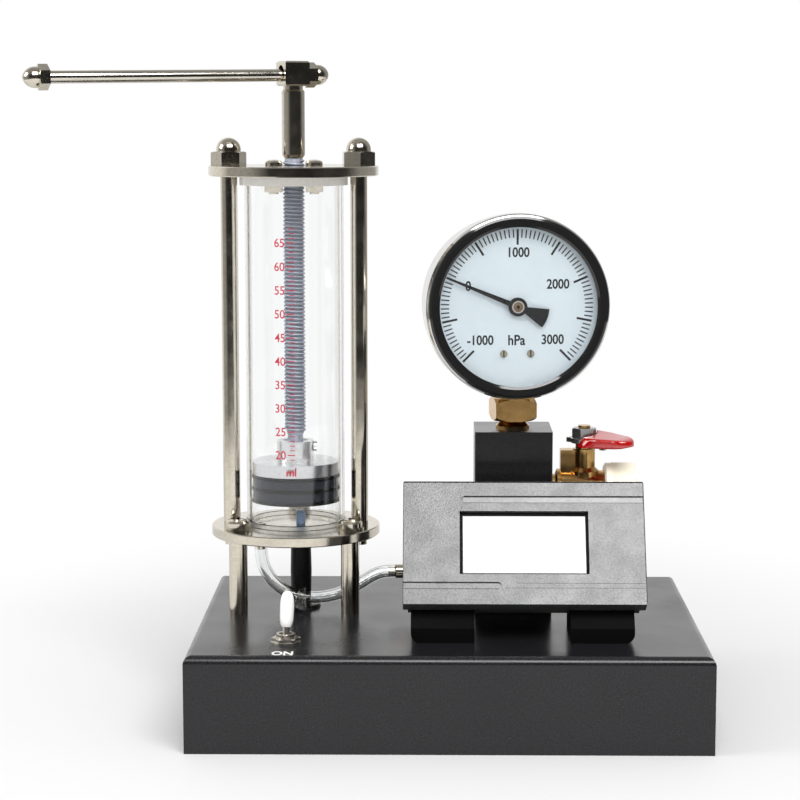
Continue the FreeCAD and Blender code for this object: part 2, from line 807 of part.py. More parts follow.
tail.translate(tail_base + Vector(0.6, 0.2, -0.6))
band = band.fuse(lock).fuse(tail).cut(bar(tie_bore, tie_start - tie_way * 4, tie_way, tie_width + 8))
keep("hose_tie", band.removeSplitter())

# ---- manifold block --------------------------------------------------------------------------

manifold = brick(block_left, block_right, block_y - block_depth / 2, block_y + block_depth / 2,
                 deck, block_top)
upright = [e for e in manifold.Edges if abs(e.Vertexes[0].Z - e.Vertexes[1].Z) > 1]
manifold = manifold.makeChamfer(0.4, upright)
barb_port = Vector(block_left, route_end.y, port_level)
manifold = manifold.cut(bar(barb_thread + thread_fit, barb_port - right_way, right_way,
                            barb_thread_length + 0.3 + 1))
manifold = manifold.cut(bar(bore_radius, barb_port + right_way, right_way, block_width / 2 - 1))
manifold = manifold.cut(rod(bore_radius, port_level, block_top - adapter_thread, block_x, block_y))
manifold = manifold.cut(rod(port_radius + thread_fit, block_top - adapter_thread - 0.4, block_top + 1,
                            block_x, block_y))
valve_port = Vector(block_right - port_depth - 0.4, block_y, valve_height)
manifold = manifold.cut(bar(bore_radius, Vector(block_x, block_y, valve_height), right_way, block_width))
manifold = manifold.cut(bar(port_radius + thread_fit, valve_port, right_way, port_depth + 1))
for x, y in block_screw_places:
    manifold = manifold.cut(rod(leg_screw[0] + thread_fit, deck - 1, deck_hole_top, x, y))
keep("manifold_block", manifold)

# ---- pressure gauge --------------------------------------------------------------------------


def gauge_bar(radius, front, rear, across=0.0, up=0.0):
    """Round bar along the gauge's axis, between two depths behind its front."""
    start = gauge_centre + Vector(across, front, up)
    return bar(radius, start, into_gauge, rear - front)


def gauge_plate(points, front, thick):
    """Flat plate square to the gauge's axis, from (across, up) points."""
    face = outline([gauge_centre + Vector(across, front, up) for across, up in points])
    return face.extrude(into_gauge * thick)


def polar(radius, angle):
    """Point on the gauge's face, its angle counted anticlockwise from the right."""
    a = math.radians(angle)
    return (radius * math.cos(a), radius * math.sin(a))


def gauge_turned(profile):
    """Solid turned about the gauge's axis from (radius, depth) points."""
    points = [gauge_centre + Vector(r, depth, 0) for r, depth in profile]
    return outline(points).revolve(gauge_centre, into_gauge, 360)


bezel_radius = case_radius + bezel_wall
bezel_opening = case_radius - bezel_lip
bezel = gauge_turned([(bezel_opening, 0.5), (bezel_opening + 0.8, 0.0), (bezel_radius - 1.6, 0.0),
                      (bezel_radius - 0.5, 0.6), (bezel_radius, 1.8), (bezel_radius, bezel_depth),
                      (case_radius + thread_fit, bezel_depth), (case_radius + thread_fit, 0.7),
                      (bezel_opening, 0.7)])
keep_gauge("gauge_bezel", bezel)
keep_gauge("gauge_window", gauge_bar(case_radius - 0.2, 0.7, 0.7 + window_thick))

shell = gauge_bar(case_radius, case_front, case_rear)
case_end = gauge_y + case_rear
rear_rim = [e for e in shell.Edges if len(e.Vertexes) == 1 and e.Vertexes[0].Y > case_end - 0.1]
shell = shell.makeFillet(2.5, rear_rim)
cavity = gauge_bar(case_radius - case_wall, case_front - 1, case_rear - case_wall)
shell = shell.cut(cavity)
shell = shell.cut(rod(gauge_stem_radius + easy_fit, block_top, gauge_height - case_radius + 4,
                      block_x, block_y))
keep_gauge("gauge_case", shell)

plate_front = dial_front + dial_thick
dial_radius = case_radius - case_wall - dial_gap
dial = gauge_bar(dial_radius, dial_front, plate_front)
dial = dial.cut(gauge_bar(arbor_radius + 0.7, dial_front - 1, dial_front + 2))
dial_screws = []
for side in (-1, 1):
    across = side * dial_screw_span
    screw_hole = gauge_bar(dial_screw_shank + thread_fit, dial_front - 1, dial_front + 2,
                           across, -dial_screw_drop)
    dial = dial.cut(screw_hole)
    head_radius, head_height = dial_screw_head
    head = gauge_bar(head_radius, dial_front - head_height, dial_front, across, -dial_screw_drop)
    reach = head_radius + 0.1
    low = -dial_screw_drop - dial_screw_slot / 2
    high = -dial_screw_drop + dial_screw_slot / 2
    left = across - reach
    right = across + reach
    slot_outline = [(left, low), (right, low), (right, high), (left, high)]
    head = head.cut(gauge_plate(slot_outline, dial_front - head_height - 0.3, head_height * 0.5 + 0.25))
    shank = gauge_bar(dial_screw_shank, dial_front, plate_front + movement_plate, across, -dial_screw_drop)
    dial_screws.append(head.fuse(shank).removeSplitter())
keep_gauge("gauge_dial", dial)
keep_gauge("dial_screws", *dial_screws)

# The movement: two brass plates either side of a tongue on the socket, with the pinion's arbor
# at the gauge's centre and the sector's arbor below it.
tongue_front = plate_front + movement_plate
tongue_rear = tongue_front + movement_gap
pitch_pinion = gear_module * pinion_teeth / 2
pitch_wheel = gear_module * wheel_teeth / 2
sector_drop = pitch_pinion + pitch_wheel
half_width = movement_width / 2
case_bore = case_radius - case_wall
movement_below = math.sqrt(case_bore ** 2 - half_width ** 2) - movement_rim_gap
half_top = half_width * 0.45
frame_points = [(-half_width, -movement_below), (half_width, -movement_below), (half_width, -2.0),
                (half_top, movement_above), (-half_top, movement_above), (-half_width, -2.0)]
frame = []
for front in (plate_front, tongue_rear):
    plate = gauge_plate(frame_points, front, movement_plate)
    for up in (0.0, -sector_drop):
        plate = plate.cut(gauge_bar(arbor_radius + running_fit, front - 1, front + 2, 0, up))
    if front == plate_front:
        for side in (-1, 1):
            plate = plate.cut(gauge_bar(dial_screw_shank + thread_fit, front - 1, front + 2,
                                        side * dial_screw_span, -dial_screw_drop))
    frame.append(plate)
for side in (-1, 1):
    across = side * (half_width * 0.42 - 0.2)
    frame.append(gauge_bar(0.9, tongue_front, tongue_rear, across, movement_above - 1.2))
keep_gauge("movement_frame", *frame)


def gear_points(teeth, first, count):
    """Outline points of involute teeth; each tooth spans one pitch, starting at an angle in degrees."""
    pitch = gear_module * teeth / 2
    pressure = math.radians(25)
    base = pitch * math.cos(pressure)
    tip = pitch + 0.9 * gear_module
    root = pitch - 1.15 * gear_module
    half = math.pi / teeth / 2 - gear_backlash / pitch / 2
    involute = math.tan(pressure) - pressure
    flank = []
    for k in range(5):
        radius = max(base, root) + (tip - max(base, root)) * k / 4
        swing = math.acos(min(1.0, base / radius))
        flank.append((radius, half + involute - (math.tan(swing) - swing)))
    if root < base:
        flank.insert(0, (root, flank[0][1]))
    points = []
    for k in range(count):
        middle = math.radians(first + 360.0 * k / teeth)
        for radius, swing in flank:
            points.append(polar(radius, math.degrees(middle - swing)))
        for radius, swing in reversed(flank):
            points.append(polar(radius, math.degrees(middle + swing)))
    return points


gear_front = tongue_front + (movement_gap - gear_thick) / 2 - 0.8
pinion = gauge_plate(gear_points(pinion_teeth, 270 + 180.0 / pinion_teeth, pinion_teeth), gear_front - 0.3,
                     gear_thick + 0.6)
hub_front = pointer_front - 0.3
arbor = gauge_bar(arbor_radius, hub_front, tongue_rear + movement_plate + 0.3)
bush = gauge_bar(pointer_bush, hub_front, hub_front + pointer_hub[1])
bush = bush.cut(gauge_bar(arbor_radius + 0.01, hub_front - 1, hub_front + 3))
keep_gauge("pinion_arbor", pinion.fuse(arbor).removeSplitter(), bush)

tooth_pitch = 360.0 / wheel_teeth
first_tooth = 90 - tooth_pitch * math.floor((90 - sector_from) / tooth_pitch)
tooth_count = int((sector_to - first_tooth) / tooth_pitch)
rim = gear_points(wheel_teeth, first_tooth, tooth_count)
spoke = [polar(2.2, 150), polar(2.2, 30)]
sector_points = [(a, b - sector_drop) for a, b in rim + spoke]
sector = gauge_plate(sector_points, gear_front, gear_thick)
sector = sector.fuse(gauge_bar(sector_hub, gear_front, gear_front + gear_thick, 0, -sector_drop))
window = [polar(6.0, 100), polar(6.0, 66), polar(12.4, 64), polar(12.4, 100)]
sector = sector.cut(gauge_plate([(a, b - sector_drop) for a, b in window], gear_front - 1, 4))
tail = gauge_plate([(0, -sector_drop - 1.1), (0, -sector_drop + 1.1), (-sector_tail, -sector_drop + 0.9),
                    (-sector_tail, -sector_drop - 0.9)], gear_front, gear_thick)
sector = sector.fuse(tail)
gear_rear = gear_front + gear_thick
link_hole = link_pin + running_fit
sector = sector.fuse(gauge_bar(link_eye + 0.1, gear_front, gear_rear, -sector_tail, -sector_drop))
sector = sector.cut(gauge_bar(link_hole, gear_front - 1, gear_rear + 1, -sector_tail, -sector_drop))
sector_pin = gauge_bar(arbor_radius, plate_front + 0.1, tongue_rear + movement_plate - 0.1, 0, -sector_drop)
keep_gauge("sector_gear", sector.fuse(sector_pin).removeSplitter())

# Bourdon tube: flattened tube bent nearly full circle behind the movement.
tube_front = tongue_rear + movement_plate + bourdon_clearance
tube_rear = tube_front + bourdon_width
inner_r = bourdon_radius - bourdon_thick / 2
outer_r = bourdon_radius + bourdon_thick / 2


def bourdon_section(shrink):
    """Flattened tube section at the foot of the bend, made smaller all round by shrink."""
    inner = inner_r + shrink
    outer = outer_r - shrink
    near = tube_front + shrink
    far = tube_rear - shrink
    wide, deep = bourdon_corner
    section = [(inner, near + deep), (inner, far - deep), (inner + wide, far), (outer - wide, far),
               (outer, far - deep), (outer, near + deep), (outer - wide, near), (inner + wide, near)]
    return outline([gauge_centre + Vector(0, depth, -r) for r, depth in section])


bourdon = bourdon_section(0).revolve(gauge_centre, into_gauge, -bourdon_sweep)
tip_angle = 270 + bourdon_sweep
tip_across, tip_up = polar(bourdon_radius, tip_angle - 2)
link_front = gear_front + gear_thick + 0.2
tip_lug = brick(gauge_centre.x + tip_across - 1.4, gauge_centre.x + tip_across + 1.4,
                gauge_y + link_front + link_thick, gauge_y + tube_front + 0.6,
                gauge_centre.z + tip_up - 1.4, gauge_centre.z + tip_up + 1.4)
tip_pin = gauge_bar(link_pin, link_front - 0.1, link_front + link_thick + 0.2, tip_across, tip_up)
bourdon_whole = bourdon.fuse(tip_lug).fuse(tip_pin).removeSplitter()
keep_gauge("bourdon_tube", bourdon_whole)

link_end = (-sector_tail, -sector_drop)
dx = tip_across - link_end[0]
dz = tip_up - link_end[1]
reach = math.hypot(dx, dz)
side_x = -dz / reach * link_width / 2
side_z = dx / reach * link_width / 2
link_sides = [(link_end[0] + side_x, link_end[1] + side_z), (link_end[0] - side_x, link_end[1] - side_z)]
link_sides += [(tip_across - side_x, tip_up - side_z), (tip_across + side_x, tip_up + side_z)]
link = gauge_plate(link_sides, link_front, link_thick)
for across, up in (link_end, (tip_across, tip_up)):
    link = link.fuse(gauge_bar(link_eye, link_front, link_front + link_thick, across, up))
for across, up in (link_end, (tip_across, tip_up)):
    link = link.cut(gauge_bar(link_hole, link_front - 1, link_front + 2, across, up))
keep_gauge("movement_link", link.removeSplitter())

# The socket: a square for the wrench between the block and the case, a thread below, and the
# carrier inside.
square_low = block_top + adapter_collar
square_high = square_low + adapter_square
case_foot = gauge_height - math.sqrt(case_bore ** 2 - (half_width + 0.2) ** 2)
socket = turned_prism(adapter_flats, square_low, square_high, block_x, block_y, 45, both=True, sides=4)
socket = socket.fuse(turned([(0, block_top - adapter_thread), (port_radius, block_top - adapter_thread),
                             (port_radius, block_top), (port_radius + 0.5, block_top),
                             (port_radius + 0.5, block_top + 0.7), (adapter_neck, square_low - 0.3),
                             (adapter_neck, square_low + 1), (0, square_low + 1)], block_x, block_y))
socket = socket.fuse(rod(gauge_stem_radius, square_high - 1, case_foot + 0.6, block_x, block_y))
carrier_top = gauge_height - inner_r + 1.0
carrier_low = case_foot + 0.1
left = block_x - half_width
right = block_x + half_width
tongue_top = gauge_height - sector_drop - tail_clearance
socket = socket.fuse(brick(left, right, gauge_y + tongue_front, gauge_y + tongue_rear,
                           carrier_low, tongue_top))
socket = socket.fuse(brick(left, right, gauge_y + tongue_rear + movement_plate, gauge_y + tube_rear + 0.6,
                           carrier_low, carrier_top))
bore_top = gauge_height - bourdon_radius - 0.5
socket = socket.cut(rod(socket_bore, block_top - adapter_thread - 1, bore_top, block_x, block_y + 3.4))
socket = socket.cut(bourdon_section(-0.02).revolve(gauge_centre, into_gauge, -40))
keep_gauge("gauge_socket", socket.removeSplitter())

# Pointer: a slim hand with a fan-shaped tail and a raised hub ring.
pointer = gauge_plate([(pointer_length, 0.3), (3.0, 0.85), (3.0, -0.85), (pointer_length, -0.3)],
                      pointer_front, pointer_thick)
fan_end = [polar(pointer_tail, 180 + k * 4.5) for k in range(-4, 5)]
fan = gauge_plate([(-2.2, 0.9)] + [(a, b) for a, b in fan_end] + [(-2.2, -0.9)], pointer_front, pointer_thick)
pointer = pointer.fuse(fan).fuse(gauge_bar(pointer_hub[0], hub_front, hub_front + pointer_hub[1]))
pointer = pointer.cut(gauge_bar(pointer_bush + 0.01, hub_front - 1, hub_front + 3))
pointer.rotate(gauge_centre, into_gauge, -pointer_angle)
keep_gauge("pointer", pointer.removeSplitter())

# ---- ball valve ------------------------------------------------------------------------------

valve_centre = Vector(valve_x, block_y, valve_height)


def valve_turned(profile):
    """Solid turned about the valve's bore from (radius, place along X) points."""
    points = [Vector(x, block_y, valve_height + r) for r, x in profile]
    return outline(points).revolve(valve_centre, right_way, 360)


inlet_end = block_right - port_depth
body = valve_turned([(0, inlet_end), (port_radius, inlet_end), (port_radius, block_right),
                     (valve_shoulder, block_right), (valve_shoulder, block_right + 1.4),
                     (valve_barrel + 0.5, block_right + 2.0),
                     (valve_barrel + 0.5, block_right + 3.2), (valve_barrel, block_right + 3.5),
                     (valve_barrel, valve_right), (0, valve_right)])
gland = rod(gland_radius, valve_height, gland_top, valve_x, block_y)
foot_radius = gland_radius + gland_foot
foot_top = valve_height + valve_barrel
foot_of_gland = turned([(0, valve_height), (foot_radius, valve_height), (foot_radius, foot_top),
                        (gland_radius, foot_top + 1.2), (0, foot_top + 1.2)], valve_x, block_y)
body = body.fuse(gland).fuse(foot_of_gland)
lug_left = valve_x - gland_radius - lug_width
body = body.fuse(brick(lug_left, valve_x - gland_radius + 0.6, block_y - lug_depth / 2,
                       block_y + lug_depth / 2, valve_height + 4, gland_top - 0.3))
pocket = ball_radius + valve_seat_wall
pocket_start = Vector(valve_x - pocket, block_y, valve_height)
body = body.cut(bar(ball_radius + 0.4, pocket_start, right_way, valve_right + 1 - pocket_start.x))
inlet_start = Vector(inlet_end - 1, block_y, valve_height)
body = body.cut(bar(valve_bore, inlet_start, right_way, valve_x - inlet_start.x))
body = body.cut(rod(stem_radius + running_fit, valve_height, gland_top + 1, valve_x, block_y))
keep("valve_body", body.removeSplitter())

# The end piece screws in from the right, closes on the ball's seats and carries the outlet thread.
nose_end = valve_x + pocket
outlet = valve_turned([(0, nose_end), (ball_radius + 0.35, nose_end), (ball_radius + 0.35, valve_right),
                       (valve_flange_radius - 0.9, valve_right), (valve_flange_radius, valve_right + 0.5),
                       (valve_flange_radius, valve_right + valve_flange), (0, valve_right + valve_flange)])
hex_x = valve_right + valve_flange
nut_piece = turned_prism(outlet_flats, 0, outlet_length, turn=0)
outlet = outlet.fuse(placed(nut_piece, Vector(hex_x, block_y, valve_height), right_way))
outlet_end = hex_x + outlet_length
outlet = outlet.cut(bar(valve_bore, Vector(nose_end - 1, block_y, valve_height), right_way,
                        outlet_end + 2 - nose_end))
outlet = outlet.cut(bar(outlet_thread_radius, Vector(outlet_end - outlet_thread_depth, block_y, valve_height),
                        right_way, outlet_thread_depth + 1))
keep("valve_outlet", outlet.removeSplitter())

seats = []
sphere = Part.makeSphere(ball_radius + 0.02, valve_centre)
for side in (-1, 1):
    near = valve_x + side * 3.0
    far = valve_x + side * pocket
    start = Vector(min(near, far), block_y, valve_height)
    seat = bar(ball_radius + 0.3, start, right_way, abs(far - near))
    seats.append(seat.cut(bar(valve_bore, start - right_way, right_way, pocket)).cut(sphere))
keep("valve_seats", *seats)

turn_lever = Rotation(Vector(0, 0, 1), lever_angle)
ball = Part.makeSphere(ball_radius, valve_centre)
bore_way = turn_lever.multVec(right_way)
ball = ball.cut(bar(valve_bore, valve_centre - bore_way * 2 * ball_radius, bore_way, 4 * ball_radius))
slot_floor = valve_height + ball_radius - 1.4
slot = brick(-stem_slot / 2, stem_slot / 2, -ball_radius, ball_radius, slot_floor, slot_floor + ball_radius)
slot.Placement = Placement(Vector(valve_x, block_y, 0), turn_lever)
keep("valve_ball", ball.cut(slot))

tongue_half = stem_slot / 2 - 0.1
tongue = brick(-tongue_half, tongue_half, -1.7, 1.7, slot_floor + 0.1, slot_floor + 2)
tongue.Placement = Placement(Vector(valve_x, block_y, 0), turn_lever)
stem = rod(stem_radius, slot_floor + 1.6, stem_top, valve_x, block_y).fuse(tongue)
stem = stem.fuse(rod(stem_radius + stem_collar, gland_top + 0.1, lever_level, valve_x, block_y))
keep("valve_stem", stem.removeSplitter())

plate_high = lever_level + lever_plate
lever_arm = rod(lever_hub, lever_level, plate_high)
lever_arm = lever_arm.fuse(brick(0, lever_length, -lever_width / 2, lever_width / 2, lever_level, plate_high))
tail_length, tail_width = lever_tail
lever_arm = lever_arm.fuse(brick(-lever_hub - tail_length, 0, -tail_width / 2, tail_width / 2,
                                 lever_level, plate_high))
lever_arm = lever_arm.cut(rod(stem_radius + 0.02, lever_level - 1, plate_high + 1))
stop_near, stop_far, stop_drop = lever_stop
stop = brick(stop_near, stop_far, lever_width / 2 - 1.4, lever_width / 2, lever_level - stop_drop,
             lever_level + 0.5)
lever_arm = lever_arm.fuse(stop)
place_lever = Placement(Vector(valve_x, block_y, 0), turn_lever)
lever_arm = lever_arm.removeSplitter()
lever_arm.Placement = place_lever
keep("valve_lever", lever_arm)

half_sleeve = sleeve_width / 2
tip_x = sleeve_length - sleeve_tip
widest = sleeve_start + 2.0
corners = [(tip_x, -sleeve_tip), (widest, -half_sleeve), (sleeve_start, 1 - half_sleeve),
           (sleeve_start, half_sleeve - 1), (widest, half_sleeve), (tip_x, sleeve_tip)]
corners = [Vector(x, y, 0) for x, y in corners]
plan = [Part.makeLine(a, b) for a, b in zip(corners, corners[1:])]
plan.append(Part.Arc(corners[-1], Vector(sleeve_length, 0, 0), corners[0]).toShape())
grip_low = lever_level - sleeve_wall + 0.3
grip_high = plate_high + sleeve_wall
grip = Part.Face(Part.Wire(Part.__sortEdges__(plan))).extrude(Vector(0, 0, grip_high - grip_low))
grip.translate(Vector(0, 0, grip_low))
rims = [e for e in grip.Edges if abs(e.Vertexes[0].Z - e.Vertexes[-1].Z) < 0.01]
grip = grip.makeFillet(sleeve_round, rims)
grip = grip.cut(rod(lever_hub + 0.4, grip_low - 1, grip_high + 1))
grip = grip.cut(brick(0, lever_length, -lever_width / 2, lever_width / 2, lever_level, plate_high))
grip = grip.cut(brick(stop_near - 0.2, stop_far + 0.2, lever_width / 2 - 1.6, lever_width / 2 + 0.2,
                      lever_level - stop_drop - 0.6, lever_level + 0.5))
grip.Placement = place_lever
keep("lever_sleeve", grip)

nut_high = plate_high + lever_nut_height
lever_nut = turned_prism(lever_nut_flats, plate_high, nut_high, valve_x, block_y, 10, both=True)
keep("lever_nut", lever_nut.cut(rod(stem_radius + 0.02, plate_high - 1, nut_high + 1, valve_x, block_y)))

# ---- display ---------------------------------------------------------------------------------

# The display is drawn lying flat, with its front upwards, and is then tilted on to its feet.
stand_up = Placement(Vector(display_left, display_y, display_z), Rotation(Vector(1, 0, 0), 90 - display_tilt))
front = brick(0, display_width, 0, display_slant, -display_case, 0)
corners = [e for e in front.Edges if abs(e.Vertexes[0].Z - e.Vertexes[1].Z) > 1]
front = front.makeFillet(0.5, corners)
front = front.cut(brick(display_wall, display_width - display_wall, display_wall,
                        display_slant - display_wall, -display_case - 1, -display_face))
window_right = window_left + window_width
front = front.cut(brick(window_left, window_right, window_low, window_high, -display_case - 1, 1))


def groove(x0, x1, low, round_left, round_right):
    """Shallow channel across the front, square where it runs out at an edge."""
    half = groove_width / 2
    start = x0 + half if round_left else x0 - 1
    finish = x1 - half if round_right else x1 + 1
    channel = brick(start, finish, low, low + groove_width, -groove_depth, 1)
    if round_left:
        channel = channel.fuse(rod(half, -groove_depth, 1, start, low + half))
    if round_right:
        channel = channel.fuse(rod(half, -groove_depth, 1, finish, low + half))
    return channel


front = front.cut(groove(groove_top_left, display_width, groove_top, True, False))
front = front.cut(groove(0, groove_bottom_end, groove_bottom, False, True))
front.Placement = stand_up
keep("display_front", front)

back = brick(display_back_inset, display_width - display_back_inset, display_back_inset,
             display_slant - display_back_inset, -display_case - display_back_depth, -display_case)
back_face = -display_case - display_back_depth
rear_edges = [e for e in back.Edges if max(v.Z for v in e.Vertexes) < back_face + 0.1]
back = back.makeFillet(1.5, rear_edges)
back.Placement = stand_up
keep("display_back", back)

module = brick(window_left - module_margin, window_right + module_margin, window_low - module_margin,
               window_high + module_margin, -display_face - module_thick, -display_face)
module.Placement = stand_up
keep("display_module", module)


def on_display(slant, depth, x=0.0):
    """Point of the tilted display, from its place up the slant and behind the front."""
    return stand_up.multVec(Vector(x - display_left, slant, -depth))


behind = display_case + display_back_depth
foot_hole_top = deck + foot_screw_reach + hole_spare
inset = display_back_inset
seat = [on_display(0, display_case), on_display(inset, display_case), on_display(inset, behind),
        on_display(inset + foot_rest, behind)]
for name, left, outer in (("display_foot_left", foot_left, -1), ("display_foot_right", foot_right, 1)):
    foot_profile = [Vector(0, foot_front, deck), Vector(0, foot_front, deck + foot_step)]
    foot_profile += [Vector(0, p.y, p.z) for p in seat]
    rest_top = foot_profile[-1]
    foot_profile += [Vector(0, foot_rear, rest_top.z - 1.0), Vector(0, foot_rear, deck)]
    foot = outline(foot_profile).extrude(Vector(foot_width, 0, 0))
    side = foot_width if outer > 0 else 0
    low_edges = []
    for e in foot.Edges:
        if all(abs(v.X - side) < 0.01 and abs(v.Z - deck) < 0.01 for v in e.Vertexes):
            low_edges.append(e)
    foot = foot.makeFillet(foot_round, low_edges)
    foot.translate(Vector(left, 0, 0))
    for x, y in foot_screw_places:
        foot = foot.cut(rod(small_screw[0] + thread_fit, deck - 1, foot_hole_top, x, y))
    keep(name, foot)

# ---- piston ----------------------------------------------------------------------------------

grooves = []
rings = []
lowest_ring = crown_low + 0.1 - ring_spacing * (ring_count - 1)
tube_contact = tube_bore - running_fit
ring_centre = tube_contact - ring_section
for k in range(ring_count):
    level = lowest_ring + ring_spacing * k
    rings.append(Part.makeTorus(ring_centre, ring_section, Vector(cylinder_x, cylinder_y, level)))
    grooves.append(ring(tube_bore + 1, ring_groove_radius, level - ring_groove / 2, level + ring_groove / 2,
                        cylinder_x, cylinder_y))
crown = rod(crown_radius, crown_low, crown_top, cylinder_x, cylinder_y)
crown = crown.fuse(rod(spigot_radius, crown_low - spigot_depth, crown_low, cylinder_x, cylinder_y))
crown = crown.fuse(rod(boss_radius, crown_top, boss_top, cylinder_x, cylinder_y))
swivel_floor = crown_top + boss_floor
crown = crown.cut(rod(swivel_radius + running_fit, swivel_floor, boss_top + 1, cylinder_x, cylinder_y))
screw_level = boss_top - boss_screw_drop
screw_hole = Vector(cylinder_x, cylinder_y, screw_level)
crown = crown.cut(bar(boss_screw_radius + thread_fit, screw_hole, right_way, boss_radius + 2))
skirt = rod(skirt_radius, piston_low, crown_low, cylinder_x, cylinder_y)
low_rim = [e for e in skirt.Edges if len(e.Vertexes) == 1 and e.Vertexes[0].Z < crown_low - 1]
skirt = skirt.makeChamfer(skirt_edge, low_rim)
skirt = skirt.cut(rod(spigot_radius + thread_fit, crown_low - spigot_depth, crown_low + 1,
                      cylinder_x, cylinder_y))
for channel in grooves:
    skirt = skirt.cut(channel)
    crown = crown.cut(channel)
keep("piston_crown", crown.removeSplitter())
keep("piston_skirt", skirt)
keep("piston_rings", *rings)

screw_tip = swivel_groove_radius + running_fit
pin = bar(boss_screw_radius, Vector(cylinder_x + screw_tip, cylinder_y, screw_level), right_way,
          boss_radius - screw_tip)
knob = bar(boss_screw_head[0], Vector(cylinder_x + boss_radius, cylinder_y, screw_level), right_way,
           boss_screw_head[1])
keep("boss_screw", pin.fuse(knob).removeSplitter())

# ---- lead screw ------------------------------------------------------------------------------

swivel_low = swivel_floor + running_fit
spigot_r, spigot_length = column_spigot
profile = [(0, swivel_low), (swivel_radius, swivel_low), (swivel_radius, screw_level - swivel_groove / 2),
           (swivel_groove_radius, screw_level - swivel_groove / 2),
           (swivel_groove_radius, screw_level + swivel_groove / 2),
           (swivel_radius, screw_level + swivel_groove / 2), (swivel_radius, boss_top - 0.1),
           (neck_radius, boss_top - 0.1), (neck_radius, screw_low - 0.8), (screw_radius, screw_low),
           (screw_radius, column_low), (spigot_r, column_low), (spigot_r, column_low + spigot_length),
           (0, column_low + spigot_length)]
keep("lead_screw", turned(profile, cylinder_x, cylinder_y))

column = turned([(0, column_low), (column_radius - 0.8, column_low), (column_radius, column_low + 1.2),
                 (column_radius, column_top - 0.5), (column_radius - 0.5, column_top),
                 (head_neck[0], column_top),
                 (head_neck[0], head_low + 1), (0, head_low + 1)])
half_side = head_side / 2
square = brick(-half_side, half_side, -half_side, half_side, head_low, head_top)
level_edges = [e for e in square.Edges if abs(e.Vertexes[0].Z - e.Vertexes[1].Z) < 0.01]
square = square.makeChamfer(head_edge, level_edges)
head = column.fuse(square)
head = head.cut(rod(spigot_r + thread_fit, column_low - 1, column_low + spigot_length + 0.5))
head = head.cut(bar(head_hole_radius, Vector(-head_side, 0, hole_level), right_way, 2 * head_side))
head = head.removeSplitter()
head.Placement = Placement(Vector(cylinder_x, cylinder_y, 0), Rotation(Vector(0, 0, 1), head_turn))
keep("screw_head", head)

# The bar lies in the head's cross hole, pushed fully to the left, and droops a little that way.
bar_level = hole_level - bar_drop
nut_gap = 0.1
bar_right = half_side + nut_gap + bar_nut_depth
nut_bore = bar_radius + thread_fit
bar_place = Placement(Vector(cylinder_x, cylinder_y, bar_level), Rotation(Vector(0, 0, 1), head_turn))
bar_place = bar_place.multiply(Placement(Vector(0, 0, 0), Rotation(Vector(0, 1, 0), -bar_droop_angle)))
tommy = bar(bar_radius, Vector(bar_right - bar_length, 0, 0), right_way, bar_length)
tommy.Placement = bar_place
keep("tommy_bar", tommy)
ends = []
for place, way in ((half_side + nut_gap, 1), (bar_right - bar_length + bar_nut_depth, -1)):
    nut = acorn_nut(bar_nut_flats, bar_nut_hex, bar_nut_height, bar_nut_dome, nut_bore, bar_nut_depth + 0.1)
    nut = placed(nut, Vector(place, 0, 0), Vector(way, 0, 0))
    nut.Placement = bar_place.multiply(nut.Placement)
    ends.append(nut)
keep("bar_nuts", *ends)
print("bar travel %.2f" % (bar_length - 2 * bar_nut_depth - head_side - 2 * nut_gap))
print("piston travel for one turn of the screw: %.2f" % screw_pitch)
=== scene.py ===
import bmesh
import bpy
import json
import math

from mathutils import Matrix, Vector


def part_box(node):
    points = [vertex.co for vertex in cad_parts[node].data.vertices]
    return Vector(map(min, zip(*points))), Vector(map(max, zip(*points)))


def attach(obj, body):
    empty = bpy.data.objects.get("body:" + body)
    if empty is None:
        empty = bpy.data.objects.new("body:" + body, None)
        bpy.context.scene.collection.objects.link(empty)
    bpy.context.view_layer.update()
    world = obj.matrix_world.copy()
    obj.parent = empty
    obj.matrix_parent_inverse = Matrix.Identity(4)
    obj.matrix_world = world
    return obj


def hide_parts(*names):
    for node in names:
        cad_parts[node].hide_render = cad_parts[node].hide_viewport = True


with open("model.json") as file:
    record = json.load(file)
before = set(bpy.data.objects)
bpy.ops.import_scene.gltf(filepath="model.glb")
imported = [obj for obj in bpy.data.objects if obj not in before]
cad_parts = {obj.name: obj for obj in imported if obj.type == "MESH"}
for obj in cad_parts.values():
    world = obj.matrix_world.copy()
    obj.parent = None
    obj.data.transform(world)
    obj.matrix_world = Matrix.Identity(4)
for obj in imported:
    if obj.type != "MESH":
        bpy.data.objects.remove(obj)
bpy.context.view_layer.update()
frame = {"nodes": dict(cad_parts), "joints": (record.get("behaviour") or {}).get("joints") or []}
parts = frame["nodes"]
joints = {joint["name"]: joint for joint in frame["joints"]}
mm = 0.001
scene = bpy.context.scene

# ---- the table and the light ---------------------------------
# The apparatus stands on a white sheet. A large soft lamp hangs in front of it, a weak one at its
# left, and a pale room is round it, darker in front, which gives bright metal its contrast.


def new_finish(name):
    """New material with its shader; returns the material, its tree and the shader."""
    material = bpy.data.materials.new(name)
    material.use_nodes = True
    tree = material.node_tree
    tree.nodes.clear()
    output = tree.nodes.new("ShaderNodeOutputMaterial")
    shader = tree.nodes.new("ShaderNodeBsdfPrincipled")
    tree.links.new(shader.outputs["BSDF"], output.inputs["Surface"])
    return material, tree, shader


def feed(node, inputs):
    """Sets a node's inputs, by name or place, to values or to other nodes' sockets."""
    for name, value in inputs.items():
        if isinstance(value, bpy.types.NodeSocket):
            node.id_data.links.new(value, node.inputs[name])
        else:
            node.inputs[name].default_value = value


